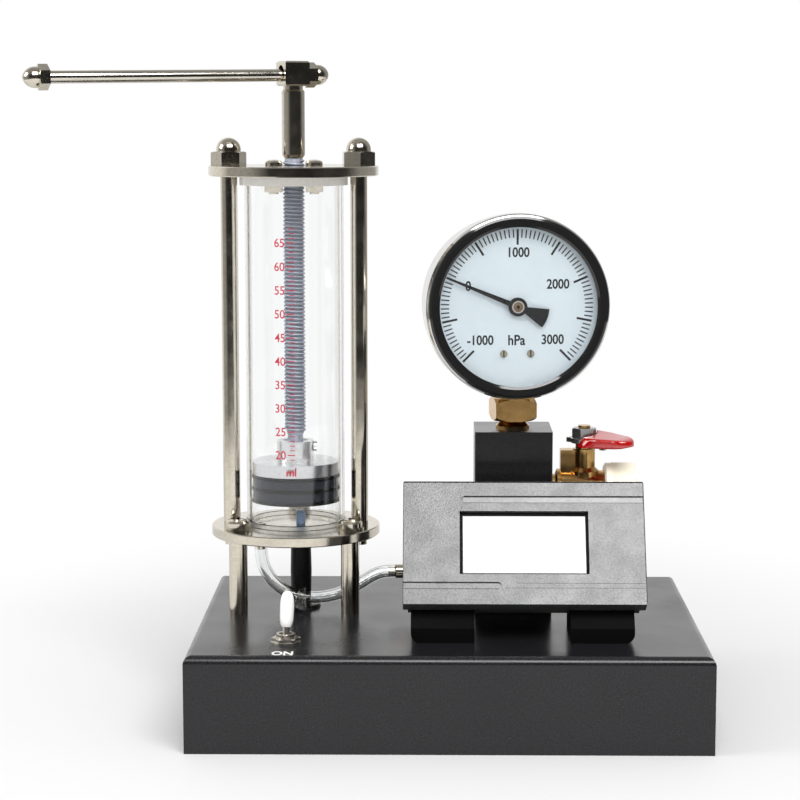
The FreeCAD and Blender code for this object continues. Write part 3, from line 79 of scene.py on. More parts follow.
def add_node(tree, kind, inputs=None, **settings):
    """New node in a tree, with its own settings and its inputs."""
    node = tree.nodes.new(kind)
    for name, value in settings.items():
        setattr(node, name, value)
    feed(node, inputs or {})
    return node


def add_math(tree, operation, *values):
    """Math node on numbers or sockets; returns its output."""
    return add_node(tree, "ShaderNodeMath", dict(enumerate(values)), operation=operation).outputs[0]


def add_vector_math(tree, operation, *values):
    """Vector math node on vectors or sockets; returns its output."""
    node = add_node(tree, "ShaderNodeVectorMath", dict(enumerate(values)), operation=operation)
    return node.outputs["Value" if operation in ("LENGTH", "DOT_PRODUCT") else "Vector"]


def new_object(name, data):
    """Object in the scene for a mesh, a curve, a lamp or a camera."""
    obj = bpy.data.objects.new(name, data)
    scene.collection.objects.link(obj)
    return obj


def mesh_from(name, shape):
    """Mesh of a finished bmesh, which is let go."""
    mesh = bpy.data.meshes.new(name)
    shape.to_mesh(mesh)
    shape.free()
    return mesh


def straight_rays(tree):
    """1 for rays that reach the camera direct or through something clear."""
    rays = add_node(tree, "ShaderNodeLightPath")
    return add_math(tree, "MAXIMUM", rays.outputs["Is Camera Ray"], rays.outputs["Is Transmission Ray"])


def mix_shaders(tree, factor, first, second):
    """Mix of two shaders; returns its output."""
    return add_node(tree, "ShaderNodeMixShader", {0: factor, 1: first, 2: second}).outputs["Shader"]


# The sheet fades to plain white away from the apparatus, sooner to the sides than to the front.
table_radius = 0.62
table_grey = 0.70
fade_start = 0.08
fade_end = 0.34
fade_squash = (1.35, 1.0, 1.0)
shape = bmesh.new()
bmesh.ops.create_circle(shape, cap_ends=True, segments=96, radius=table_radius)
table = new_object("table", mesh_from("table", shape))

table_sheet, tree, shader = new_finish("table_sheet")
feed(shader, {"Base Color": (table_grey, table_grey, table_grey, 1), "Roughness": 0.7})
place = add_node(tree, "ShaderNodeTexCoord")
squashed = add_vector_math(tree, "MULTIPLY", place.outputs["Object"], fade_squash)
reach = add_vector_math(tree, "LENGTH", squashed)
fade = add_node(tree, "ShaderNodeMapRange", {"Value": reach, "From Min": fade_start, "From Max": fade_end},
                interpolation_type="SMOOTHSTEP")
seen = add_math(tree, "MULTIPLY", fade.outputs["Result"], straight_rays(tree))
white = add_node(tree, "ShaderNodeEmission", {"Strength": 1.0})
blend = mix_shaders(tree, seen, shader.outputs["BSDF"], white.outputs["Emission"])
feed(tree.nodes["Material Output"], {"Surface": blend})
table.data.materials.append(table_sheet)

# Gloss mirrors a room whose brightness changes from the rear, at 0, to the front, at 1.
dark_side = Vector((0.42, -0.90, 0.05)).normalized()
room_tones = ((0.0, 1.0), (0.14, 0.95), (0.25, 0.40), (0.60, 0.32), (0.80, 0.03), (1.0, 0.015))
room_light = 0.62
room_white = (1, 1, 1, 1)
world = bpy.data.worlds.new("room")
scene.world = world
world.use_nodes = True
tree = world.node_tree
tree.nodes.clear()
direction = add_node(tree, "ShaderNodeTexCoord")
to_front = add_vector_math(tree, "DOT_PRODUCT", direction.outputs["Generated"], dark_side)
from_rear = add_math(tree, "ADD", add_math(tree, "MULTIPLY", to_front, 0.5), 0.5)
shade = add_node(tree, "ShaderNodeValToRGB", {"Fac": from_rear})
while len(shade.color_ramp.elements) < len(room_tones):
    shade.color_ramp.elements.new(0.5)
for element, (place_from_rear, tone) in zip(shade.color_ramp.elements, room_tones):
    element.position = place_from_rear
    element.color = (tone, tone, tone, 1)
mirrored = add_node(tree, "ShaderNodeBackground", {"Color": room_white, "Strength": shade.outputs["Color"]})
ambient = add_node(tree, "ShaderNodeBackground", {"Color": room_white, "Strength": room_light})
backdrop = add_node(tree, "ShaderNodeBackground", {"Color": room_white, "Strength": 1.0})
rays = add_node(tree, "ShaderNodeLightPath")
by_gloss = mix_shaders(tree, rays.outputs["Is Glossy Ray"], ambient.outputs[0], mirrored.outputs[0])
by_view = mix_shaders(tree, straight_rays(tree), by_gloss, backdrop.outputs[0])
add_node(tree, "ShaderNodeOutputWorld", {"Surface": by_view})
lamp_target = Vector((0, 0, 0.09))


def soft_lamp(name, place, wide, tall, power):
    """Rectangular lamp that faces the middle of the apparatus."""
    data = bpy.data.lights.new(name, "AREA")
    data.shape = "RECTANGLE"
    data.size = wide
    data.size_y = tall
    data.energy = power
    lamp = new_object(name, data)
    lamp.location = place
    lamp.rotation_euler = (lamp_target - Vector(place)).to_track_quat("-Z", "Y").to_euler()


soft_lamp("front_lamp", place=(0.22, -0.80, 0.95), wide=0.86, tall=0.52, power=14.0)
soft_lamp("left_lamp", place=(-0.95, -0.25, 0.60), wide=0.5, tall=0.5, power=4.0)
scene.view_settings.view_transform = "Standard"

# ---- the camera ----------------------------------------------
# It stands 0.7 m in front of the apparatus, a little above the gauge, and looks slightly down
# through a long lens.
camera_data = bpy.data.cameras.new("camera")
camera_data.sensor_width = 36.0
camera_data.lens = 99.28
camera_data.clip_start = 0.05
camera = new_object("camera", camera_data)
scene.camera = camera
tip_down = math.radians(7.349)
swing_left = math.radians(0.842)
roll = math.radians(-0.031)
look = Vector((-math.sin(swing_left) * math.cos(tip_down), math.cos(swing_left) * math.cos(tip_down),
               -math.sin(tip_down)))
camera.rotation_mode = "QUATERNION"
camera.rotation_quaternion = look.to_track_quat("-Z", "Y") @ Matrix.Rotation(roll, 3, "Z").to_quaternion()
camera.location = (-5.2 * mm, -705.2 * mm, 191.0 * mm)

# ---- the hose ------------------------------------------------
# Soft clear tube, 4.2 mm outside and 3 mm inside. It is pushed on the nozzle under the lower
# plate, hangs in a loop under it and is pushed on the barb of the block.
hose_radius = 2.1 * mm
hose_bore = 1.5 * mm
hose_sides = 24
hose_route = [
    (-61.5, 8.0, 54.1),
    (-61.5, 8.0, 48.6),
    (-60.5, 6.9, 43.6),
    (-57.6, 5.2, 39.3),
    (-53.2, 3.7, 36.3),
    (-48.1, 3.0, 34.7),
    (-42.5, 3.2, 34.3),
    (-37.1, 4.4, 35.0),
    (-32.0, 6.1, 36.6),
    (-27.6, 8.1, 38.9),
    (-24.0, 9.5, 40.9),
    (-20.6, 10.0, 41.8),
    (-17.0, 10.0, 41.8),
]


def evaluated_mesh(obj):
    """Mesh of an object as its curve, lettering or modifiers make it."""
    bpy.context.view_layer.update()
    return bpy.data.meshes.new_from_object(obj.evaluated_get(bpy.context.evaluated_depsgraph_get()))


def line_points(route):
    """Points in metres on the smooth curve of a route, which is given in millimetres."""
    data = bpy.data.curves.new("guide", "CURVE")
    data.dimensions = "3D"
    line = data.splines.new("NURBS")
    line.points.add(len(route) - 1)
    for point, place in zip(line.points, route):
        point.co = [value * mm for value in place] + [1]
    line.order_u = 3
    line.use_endpoint_u = True
    line.resolution_u = 12
    guide = new_object("guide", data)
    mesh = evaluated_mesh(guide)
    points = [vertex.co.copy() for vertex in mesh.vertices]
    bpy.data.meshes.remove(mesh)
    bpy.data.objects.remove(guide)
    return points


def hollow_tube(name, points, outer, inner, sides):
    """Tube with a bore along a run of points, closed by a ring at each end, as an object."""
    rings = []
    across = None
    shape = bmesh.new()
    for k, point in enumerate(points):
        way = (points[min(k + 1, len(points) - 1)] - points[max(k - 1, 0)]).normalized()
        if across is None:
            across = way.orthogonal().normalized()
        across = (across - way * across.dot(way)).normalized()
        beside = way.cross(across)
        ring = []
        for radius in (outer, inner):
            for j in range(sides):
                a = 2 * math.pi * j / sides
                ring.append(shape.verts.new(point + (across * math.cos(a) + beside * math.sin(a)) * radius))
        rings.append(ring)
    for low, high in zip(rings, rings[1:]):
        for j in range(sides):
            n = (j + 1) % sides
            shape.faces.new((low[j], low[n], high[n], high[j]))
            shape.faces.new((low[sides + n], low[sides + j], high[sides + j], high[sides + n]))
    for ring, first in ((rings[0], True), (rings[-1], False)):
        for j in range(sides):
            n = (j + 1) % sides
            face = (ring[n], ring[j], ring[sides + j], ring[sides + n])
            shape.faces.new(face if first else face[::-1])
    mesh = mesh_from(name, shape)
    mesh.shade_smooth()
    return new_object(name, mesh)


def noise_play():
    """Shader group: fine grain and slow clouds on an object's own coordinates."""
    group = bpy.data.node_groups.new("noise_play", "ShaderNodeTree")
    for name, value in (("Grain Scale", 900.0), ("Cloud Scale", 60.0), ("Low", 0.0), ("High", 1.0)):
        socket = group.interface.new_socket(name, in_out="INPUT", socket_type="NodeSocketFloat")
        socket.default_value = value
    stretch = group.interface.new_socket("Stretch", in_out="INPUT", socket_type="NodeSocketVector")
    stretch.default_value = (1, 1, 1)
    for name in ("Grain", "Cloud"):
        group.interface.new_socket(name, in_out="OUTPUT", socket_type="NodeSocketFloat")
    begin = add_node(group, "NodeGroupInput")
    end = add_node(group, "NodeGroupOutput")
    place = add_node(group, "ShaderNodeTexCoord")
    stretched = add_vector_math(group, "MULTIPLY", place.outputs["Object"], begin.outputs["Stretch"])
    grain = add_node(group, "ShaderNodeTexNoise", {"Vector": stretched, "Scale": begin.outputs["Grain Scale"],
                                                   "Detail": 3.0, "Roughness": 0.6})
    cloud = add_node(group, "ShaderNodeTexNoise", {"Vector": place.outputs["Object"],
                                                   "Scale": begin.outputs["Cloud Scale"],
                                                   "Detail": 4.0, "Roughness": 0.55})
    spread = add_node(group, "ShaderNodeMapRange", {"Value": cloud.outputs["Fac"], "From Min": 0.3,
                                                    "From Max": 0.7, "To Min": begin.outputs["Low"],
                                                    "To Max": begin.outputs["High"]})
    feed(end, {"Grain": grain.outputs["Fac"], "Cloud": spread.outputs["Result"]})
    return group


noise_group = noise_play()


def add_play(tree, rough, clouds, grain=700.0, stretch=(1, 1, 1)):
    """Places the noise group in a finish: roughness limits, and the scales of clouds and grain."""
    values = {"Low": rough[0], "High": rough[1], "Cloud Scale": clouds, "Grain Scale": grain,
              "Stretch": stretch}
    return add_node(tree, "ShaderNodeGroup", values, node_tree=noise_group)


def clear_plastic(name, tint, rough, clouds, bends_light=1.47):
    """Transparent plastic with faint rub marks in its gloss."""
    material, tree, shader = new_finish(name)
    play = add_play(tree, rough, clouds)
    feed(shader, {"Base Color": (*tint, 1), "Roughness": play.outputs["Cloud"], "IOR": bends_light,
                  "Transmission Weight": 1.0})
    return material


def dress(finish, *names):
    """Gives CAD nodes a finish."""
    for name in names:
        mesh = parts[name].data
        mesh.materials.clear()
        mesh.materials.append(finish)


hose_line = line_points(hose_route)
hose = hollow_tube("clear_hose", hose_line, hose_radius, hose_bore, hose_sides)
hose_vinyl = clear_plastic("hose_vinyl", (0.93, 0.94, 0.94), rough=(0.036, 0.096), clouds=180.0)
hose.data.materials.append(hose_vinyl)
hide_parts("hose")
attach(hose, "root")
tie_nylon = clear_plastic("tie_nylon", (0.92, 0.91, 0.87), rough=(0.132, 0.352), clouds=400.0)
dress(tie_nylon, "hose_tie")

# ---- the base ------------------------------------------------
# A box folded from steel sheet, closed below by a second sheet, both powder coated black. The
# coat has a fine orange peel and is a little more matt where hands have rubbed it.


def toned(name, dark, light, rough, clouds, grain, stretch=(1, 1, 1), bump=0.0, depth=0.0):
    """Finish whose tone follows its grain and whose gloss changes slowly; depth is in metres."""
    material, tree, shader = new_finish(name)
    play = add_play(tree, rough, clouds, grain, stretch)
    tint = add_node(tree, "ShaderNodeValToRGB", {"Fac": play.outputs["Grain"]})
    for element, position, tone in zip(tint.color_ramp.elements, (0.25, 0.75), (dark, light)):
        element.position = position
        element.color = (*tone, 1)
    feed(shader, {"Base Color": tint.outputs["Color"], "Roughness": play.outputs["Cloud"]})
    if bump:
        relief = add_node(tree, "ShaderNodeBump", {"Strength": bump, "Distance": depth,
                                                   "Height": play.outputs["Grain"]})
        feed(shader, {"Normal": relief.outputs["Normal"]})
    return material, shader


def coated(name, dark, light, rough, grain, depth, bump=0.3, gloss=0.5, clouds=45.0):
    """Paint, print, rubber or plastic with a fine texture."""
    material, shader = toned(name, dark, light, rough, clouds, grain, bump=bump, depth=depth)
    feed(shader, {"Specular IOR Level": gloss})
    return material


powder_black = coated("powder_black", (0.006, 0.006, 0.007), (0.017, 0.017, 0.019), rough=(0.17, 0.28),
                      grain=1400.0, depth=0.05 * mm, gloss=0.40)
dress(powder_black, "base_case", "base_floor")

print_thick = 0.02 * mm


def text_mesh(name, words, height, squeeze=1.0, weight=0.0):
    """Flat lettering as a mesh, centred on the origin, its capitals as tall as height."""
    capitals = 0.69
    data = bpy.data.curves.new(name, "FONT")
    data.body = words
    data.align_x = "CENTER"
    data.align_y = "CENTER"
    data.size = height / capitals
    data.resolution_u = 4
    data.offset = weight * data.size
    data.extrude = print_thick / 2
    holder = new_object(name, data)
    mesh = evaluated_mesh(holder)
    bpy.data.objects.remove(holder)
    xs = [vertex.co.x for vertex in mesh.vertices]
    ys = [vertex.co.y for vertex in mesh.vertices]
    centre = Vector(((min(xs) + max(xs)) / 2, (min(ys) + max(ys)) / 2, 0))
    mesh.transform(Matrix.Diagonal((squeeze, 1, 1, 1)) @ Matrix.Translation(-centre))
    return mesh


base_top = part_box("base_case")[1].z
word_lift = 0.01 * mm
word_place = Vector((-50.35 * mm, -55.1 * mm, base_top + word_lift))
printed_white = coated("printed_white", (0.78, 0.78, 0.76), (0.86, 0.86, 0.84), rough=(0.45, 0.6),
                       grain=2500.0, depth=0.01 * mm)
switch_word = new_object("switch_word", text_mesh("switch_word", "ON", 4.4 * mm, squeeze=0.66, weight=0.03))
switch_word.data.transform(Matrix.Translation(word_place))
switch_word.data.materials.append(printed_white)
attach(switch_word, "root")

# ---- plated pieces -------------------------------------------
# Legs, rods, plates, nuts and screws are turned from brass or steel and nickel plated. The plate
# is warm in tone, a little cloudy, and has faint marks from turning.
plate_clouds = 110.0


def plated(name, dark, light, rough, stretch=(1, 1, 1), grain=700.0, depth=0.004 * mm, bump=0.25, metal=1.0):
    """Bright metal with faint machining marks and cloudy spots."""
    material, shader = toned(name, dark, light, rough, plate_clouds, grain, stretch, bump, depth)
    feed(shader, {"Metallic": metal})
    return material


nickel = plated("nickel", (0.57, 0.52, 0.43), (0.72, 0.67, 0.57), rough=(0.09, 0.20), stretch=(1, 1, 2.2))
drawn_bar = plated("drawn_bar", (0.58, 0.54, 0.46), (0.70, 0.66, 0.58), rough=(0.12, 0.19),
                   stretch=(0.1, 1, 1), grain=500.0, depth=0.0005 * mm, bump=0.05)
zinc = plated("zinc", (0.52, 0.53, 0.52), (0.66, 0.67, 0.66), rough=(0.25, 0.40))
dress(nickel, "leg_posts", "leg_screws", "lower_plate", "upper_plate", "tie_rods", "acorn_nuts",
      "guide_screws", "screw_head", "bar_nuts", "hose_nozzle", "block_barb", "valve_ball")
dress(drawn_bar, "tommy_bar")
dress(zinc, "base_screws", "boss_screw")

# ---- the switch ----------------------------------------------
# A panel toggle switch. Its plated bushing comes up through the base's top and is held by a nut,
# and its metal lever has a white moulded cap.
bushing_steel = plated("bushing_steel", (0.66, 0.62, 0.55), (0.82, 0.79, 0.72), rough=(0.20, 0.32))
dress(bushing_steel, "switch_body", "switch_nut", "toggle_lever")
cap_white = coated("cap_white", (0.84, 0.83, 0.81), (0.90, 0.90, 0.88), rough=(0.16, 0.26), grain=900.0,
                   depth=0.01 * mm, bump=0.1)
dress(cap_white, "toggle_cap")

# ---- the battery ---------------------------------------------
# Two penlight cells in printed sleeves, in a black moulded tray on the base's floor. Nothing
# shows of them from outside.
tray_black = coated("tray_black", (0.02, 0.02, 0.02), (0.04, 0.04, 0.04), rough=(0.45, 0.6),
                    grain=1200.0, depth=0.04 * mm)
dress(tray_black, "battery_holder")
cell_sleeve = coated("cell_sleeve", (0.08, 0.11, 0.22), (0.12, 0.16, 0.30), rough=(0.25, 0.35),
                     grain=500.0, depth=0.01 * mm)
dress(cell_sleeve, "battery_cells")

# ---- the cylinder --------------------------------------------
# A clear acrylic tube between a thin gasket and the nylon guide. Its scale is printed in red on
# the outside, a mark for each millilitre and a number for each five.
acrylic = clear_plastic("acrylic", (0.985, 0.99, 0.99), rough=(0.012, 0.032), clouds=60.0)
dress(acrylic, "cylinder_tube")
gasket_silicone = clear_plastic("gasket_silicone", (0.90, 0.90, 0.88), rough=(0.18, 0.48), clouds=300.0)
dress(gasket_silicone, "lower_gasket")
nylon, shader = toned("nylon", (0.80, 0.78, 0.73), (0.90, 0.89, 0.85), rough=(0.30, 0.42), clouds=120.0,
                      grain=800.0)
feed(shader, {"Subsurface Weight": 0.25, "Subsurface Radius": (0.004, 0.004, 0.003), "Subsurface Scale": 1.0})
dress(nylon, "guide_disc")

tube_low, tube_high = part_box("cylinder_tube")
tube_centre = Vector(((tube_low.x + tube_high.x) / 2, (tube_low.y + tube_high.y) / 2, 0))
tube_radius = (tube_high.x - tube_low.x) / 2
print_lift = 0.03 * mm
ml_step = 1.514 * mm
ml_low = 19
ml_high = 68
level_of_20 = 82.8 * mm


def grown(name, tree, values):
    """Plain mesh object made by a Geometry Nodes tree, from values for its named inputs."""
    holder = new_object(name, bpy.data.meshes.new(name))
    modifier = holder.modifiers.new("grow", "NODES")
    modifier.node_group = tree
    for item in tree.interface.items_tree:
        if item.item_type == "SOCKET" and item.in_out == "INPUT":
            modifier[item.identifier] = values[item.name]
    mesh = evaluated_mesh(holder)
    holder.modifiers.clear()
    holder.data = mesh
    return holder


def growing_tree(name, floats, integers=()):
    """Geometry Nodes tree with named inputs and a finish; returns it, its input and its output."""
    tree = bpy.data.node_groups.new(name, "GeometryNodeTree")
    for label in floats:
        tree.interface.new_socket(label, in_out="INPUT", socket_type="NodeSocketFloat")
    for label in integers:
        tree.interface.new_socket(label, in_out="INPUT", socket_type="NodeSocketInt")
    tree.interface.new_socket("Finish", in_out="INPUT", socket_type="NodeSocketMaterial")
    tree.interface.new_socket("Geometry", in_out="OUTPUT", socket_type="NodeSocketGeometry")
    return tree, add_node(tree, "NodeGroupInput"), add_node(tree, "NodeGroupOutput")


def close_tree(tree, begin, end, geometry):
    """Ends a tree: instances made real, finish set."""
    real = add_node(tree, "GeometryNodeRealizeInstances", {"Geometry": geometry})
    painted = add_node(tree, "GeometryNodeSetMaterial", {"Geometry": real.outputs["Geometry"],
                                                         "Material": begin.outputs["Finish"]})
    feed(end, {"Geometry": painted.outputs["Geometry"]})


def join_vector(tree, x, y, z):
    """Combine XYZ of numbers or sockets; returns its output."""
    return add_node(tree, "ShaderNodeCombineXYZ", {"X": x, "Y": y, "Z": z}).outputs["Vector"]


def ladder_tree():
    """Marks one above the other, bent round an upright cylinder."""
    lengths = ("Step", "Width", "Height", "Across", "Radius")
    tree, begin, end = growing_tree("scale_ladder", lengths, ("Count",))
    index = add_node(tree, "GeometryNodeInputIndex").outputs["Index"]
    level = add_math(tree, "MULTIPLY", index, begin.outputs["Step"])
    place = join_vector(tree, begin.outputs["Across"], 0.0, level)
    points = add_node(tree, "GeometryNodePoints", {"Count": begin.outputs["Count"], "Position": place})
    mark = add_node(tree, "GeometryNodeMeshGrid", {"Size X": begin.outputs["Width"],
                                                   "Size Y": begin.outputs["Height"],
                                                   "Vertices X": 7, "Vertices Y": 2})
    upright = add_node(tree, "GeometryNodeTransform", {"Geometry": mark.outputs["Mesh"],
                                                       "Rotation": (math.pi / 2, 0, 0)})
    copies = add_node(tree, "GeometryNodeInstanceOnPoints", {"Points": points.outputs["Points"],
                                                             "Instance": upright.outputs["Geometry"]})
    real = add_node(tree, "GeometryNodeRealizeInstances", {"Geometry": copies.outputs["Instances"]})
    where = add_node(tree, "GeometryNodeInputPosition").outputs["Position"]
    split = add_node(tree, "ShaderNodeSeparateXYZ", {"Vector": where})
    angle = add_math(tree, "DIVIDE", split.outputs["X"], begin.outputs["Radius"])
    x = add_math(tree, "MULTIPLY", add_math(tree, "SINE", angle), begin.outputs["Radius"])
    y = add_math(tree, "MULTIPLY", add_math(tree, "COSINE", angle), begin.outputs["Radius"])
    in_front = join_vector(tree, x, add_math(tree, "MULTIPLY", y, -1.0), split.outputs["Z"])
    bent = add_node(tree, "GeometryNodeSetPosition", {"Geometry": real.outputs["Geometry"],
                                                      "Position": in_front})
    close_tree(tree, begin, end, bent.outputs["Geometry"])
    return tree


def wrap_round_tube(mesh, across, level):
    """Bends flat lettering round the front of the tube."""
    radius = tube_radius + print_lift
    for vertex in mesh.vertices:
        angle = (across + vertex.co.x) / radius
        spread = radius + vertex.co.z
        height = level + vertex.co.y
        vertex.co = tube_centre + Vector((math.sin(angle) * spread, -math.cos(angle) * spread, height))


printed_red = coated("printed_red", (0.42, 0.022, 0.045), (0.50, 0.035, 0.065), rough=(0.4, 0.55),
                     grain=2500.0, depth=0.01 * mm, bump=0.1, gloss=0.2)
marks_end = 0.8 * mm
number_height = 2.7 * mm
number_across = -3.85 * mm
unit_height = 2.4 * mm
unit_across = -0.4 * mm
unit_level = 77.2 * mm
ladder = ladder_tree()
scale_pieces = []
for name, every, width, thick in (("ml_marks", 1, 1.5 * mm, 0.26 * mm),
                                  ("five_ml_marks", 5, 2.3 * mm, 0.32 * mm)):
    first = ml_low + (-ml_low) % every
    count = (ml_high - first) // every + 1
    marks = grown(name, ladder, {"Step": ml_step * every, "Width": width, "Height": thick,
                                 "Across": marks_end - width / 2, "Radius": tube_radius + print_lift,
                                 "Count": count, "Finish": printed_red})
    level = level_of_20 + (first - 20) * ml_step
    marks.data.transform(Matrix.Translation(tube_centre + Vector((0, 0, level))))
    scale_pieces.append(marks)
for value in range(20, 70, 5):
    number = text_mesh("scale_%d" % value, str(value), number_height, squeeze=0.92, weight=0.008)
    wrap_round_tube(number, number_across, level_of_20 + (value - 20) * ml_step)
    number.materials.append(printed_red)
    scale_pieces.append(new_object("scale_%d" % value, number))
unit = text_mesh("scale_unit", "ml", unit_height, squeeze=1.02, weight=0.018)
wrap_round_tube(unit, unit_across, unit_level)
unit.materials.append(printed_red)
scale_pieces.append(new_object("scale_unit", unit))
for piece in scale_pieces:
    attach(piece, "root")

# ---- the piston ----------------------------------------------
# A turned aluminium crown, whose spigot sits in a black plastic skirt. Three rubber rings lie in
# grooves and seal against the tube.
turned_aluminium = plated("turned_aluminium", (0.66, 0.66, 0.67), (0.80, 0.80, 0.81), rough=(0.22, 0.34),
                          stretch=(1, 1, 6), grain=900.0, depth=0.006 * mm)
dress(turned_aluminium, "piston_crown")
skirt_black = coated("skirt_black", (0.020, 0.022, 0.032), (0.032, 0.035, 0.050), rough=(0.34, 0.44),
                     grain=900.0, depth=0.02 * mm, gloss=0.20)
dress(skirt_black, "piston_skirt")
ring_rubber = coated("ring_rubber", (0.004, 0.004, 0.004), (0.010, 0.010, 0.010), rough=(0.45, 0.6),
                     grain=1500.0, depth=0.03 * mm, gloss=0.12)
dress(ring_rubber, "piston_rings")

# ---- the lead screw ------------------------------------------
# Grey steel with a rolled thread of 1.25 mm pitch. Its plain swivel end turns in the crown's boss,
# below a groove for the boss's small screw.
screw_low, screw_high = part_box("lead_screw")
screw_axis = Vector(joints["screw_spin"]["pos_m"])
thread_pitch = 1.25 * mm
crest_radius = 3.48 * mm
root_radius = 2.86 * mm
thread_start = 88.4 * mm
thread_end = 177.3 * mm
ridge_foot = 0.92 * thread_pitch
ridge_top = 0.30 * thread_pitch


def thread_tree():
    """A ridge of trapezoid section wound round an upright bar."""
    tree, begin, end = growing_tree("wound_ridge", ("Turns", "Pitch", "Root", "Crest", "Foot", "Top"))
    tall = add_math(tree, "SUBTRACT", begin.outputs["Crest"], begin.outputs["Root"])
    twice_middle = add_math(tree, "ADD", begin.outputs["Crest"], begin.outputs["Root"])
    middle = add_math(tree, "MULTIPLY", twice_middle, 0.5)
    rise = add_math(tree, "MULTIPLY", begin.outputs["Turns"], begin.outputs["Pitch"])
    coil = add_node(tree, "GeometryNodeCurveSpiral", {"Resolution": 36, "Rotations": begin.outputs["Turns"],
                                                      "Start Radius": middle, "End Radius": middle,
                                                      "Height": rise})
    upright = add_node(tree, "GeometryNodeSetCurveNormal", {"Curve": coil.outputs["Curve"]}, mode="Z_UP")
    ridge = add_node(tree, "GeometryNodeCurvePrimitiveQuadrilateral", mode="TRAPEZOID")
    feed(ridge, {"Height": tall, "Bottom Width": begin.outputs["Foot"], "Top Width": begin.outputs["Top"],
                 "Offset": 0.0})
    turned = add_node(tree, "GeometryNodeTransform", {"Geometry": ridge.outputs["Curve"],
                                                      "Rotation": (0, 0, math.pi / 2)})
    sweep = add_node(tree, "GeometryNodeCurveToMesh", {"Curve": upright.outputs["Curve"], "Fill Caps": True,
                                                       "Profile Curve": turned.outputs["Geometry"]})
    close_tree(tree, begin, end, sweep.outputs["Mesh"])
    return tree


screw_steel = plated("screw_steel", (0.35, 0.375, 0.45), (0.47, 0.50, 0.59), rough=(0.42, 0.54),
                     grain=1200.0, depth=0.01 * mm, metal=0.5)
turns = (thread_end - thread_start) / thread_pitch - 1
thread = grown("screw_thread", thread_tree(), {"Turns": turns, "Pitch": thread_pitch, "Root": root_radius,
                                               "Crest": crest_radius, "Foot": ridge_foot,
                                               "Top": ridge_top, "Finish": screw_steel})
thread.data.transform(Matrix.Translation((0, 0, thread_start + thread_pitch / 2)))


def lathe(name, profile, sides, finish):
    """Closed solid turned about the screw's axis from (radius, height) pairs in metres."""
    shape = bmesh.new()
    rings = []
    for radius, height in profile:
        if radius == 0:
            rings.append([shape.verts.new((0, 0, height))])
            continue
        turn = [2 * math.pi * k / sides for k in range(sides)]
        rings.append([shape.verts.new((radius * math.cos(a), radius * math.sin(a), height)) for a in turn])
    for low, high in zip(rings, rings[1:]):
        for k in range(sides):
            n = (k + 1) % sides
            corners = [low[k % len(low)], low[n % len(low)], high[n % len(high)], high[k % len(high)]]
            shape.faces.new(list(dict.fromkeys(corners)))
    bmesh.ops.recalc_face_normals(shape, faces=shape.faces)
    mesh = mesh_from(name, shape)
    mesh.materials.append(finish)
    return new_object(name, mesh)


swivel_radius = 4.0 * mm
groove_radius = 3.0 * mm
groove_low = 82.6 * mm
groove_high = 84.6 * mm
swivel_top = 85.5 * mm
neck_radius = 2.5 * mm
neck_top = 87.6 * mm
root_start = 88.2 * mm
spigot_radius = 2.0 * mm
core_sides = 48
core_profile = [(0, screw_low.z), (swivel_radius, screw_low.z), (swivel_radius, groove_low),
                (groove_radius, groove_low), (groove_radius, groove_high), (swivel_radius, groove_high),
                (swivel_radius, swivel_top), (neck_radius, swivel_top), (neck_radius, neck_top),
                (root_radius, root_start), (root_radius, thread_end), (spigot_radius, thread_end),
                (spigot_radius, screw_high.z), (0, screw_high.z)]
core = lathe("screw_core", core_profile, core_sides, screw_steel)
for piece in (thread, core):
    piece.data.transform(Matrix.Translation((screw_axis.x, screw_axis.y, 0)))
    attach(piece, "screw")
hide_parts("lead_screw")

# ---- the probe -----------------------------------------------
# A blue coated sensor that stands in a hole of the lower plate. Its lower end is in a black
# sleeve, which comes up from the base through a rubber grommet.
probe_blue = coated("probe_blue", (0.05, 0.16, 0.38), (0.09, 0.24, 0.48), rough=(0.2, 0.3), grain=700.0,
                    depth=0.01 * mm)
dress(probe_blue, "temperature_probe")
sleeve_black = coated("sleeve_black", (0.004, 0.004, 0.004), (0.010, 0.010, 0.010), rough=(0.28, 0.42),
                      grain=900.0, depth=0.06 * mm, gloss=0.2)
dress(sleeve_black, "probe_sleeve", "sleeve_grommet")

# ---- the block -----------------------------------------------
# An aluminium block, sawn and milled square and anodised black. It is drilled for the air and is
# held by two screws from inside the base.
anodised = coated("anodised", (0.006, 0.006, 0.006), (0.013, 0.013, 0.013), rough=(0.14, 0.24),
                  grain=2200.0, depth=0.02 * mm, gloss=0.28)
dress(anodised, "manifold_block")

# ---- the pressure gauge --------------------------------------
# A plated case and ring with a clear window over a white dial. The dial is printed black, with a
# mark for each 50 hPa and a number for each 1000. The works inside are brass.


def gauge_chrome(name):
    """Polished plate of the gauge's case and ring."""
    return plated(name, (0.62, 0.61, 0.59), (0.70, 0.69, 0.67), rough=(0.07, 0.12), grain=300.0,
                  depth=0.002 * mm, bump=0.1)


dress(gauge_chrome("gauge_chrome"), "gauge_case")
window = clear_plastic("gauge_window", (0.97, 0.985, 0.99), rough=(0.0, 0.03), clouds=40.0, bends_light=1.45)
dress(window, "gauge_window")
dial_white = coated("dial_white", (0.81, 0.90, 0.95), (0.85, 0.93, 0.975), rough=(0.40, 0.5), grain=600.0,
                    depth=0.005 * mm, bump=0.1)
dress(dial_white, "gauge_dial")
pointer_black = coated("pointer_black", (0.004, 0.004, 0.005), (0.009, 0.009, 0.010), rough=(0.4, 0.5),
                       grain=900.0, depth=0.01 * mm, gloss=0.12)
dress(pointer_black, "pointer")
brass = plated("brass", (0.50, 0.29, 0.10), (0.66, 0.41, 0.16), rough=(0.12, 0.24))
dress(brass, "sector_gear", "movement_frame", "movement_link", "bourdon_tube",
      "gauge_socket", "valve_body", "valve_stem")

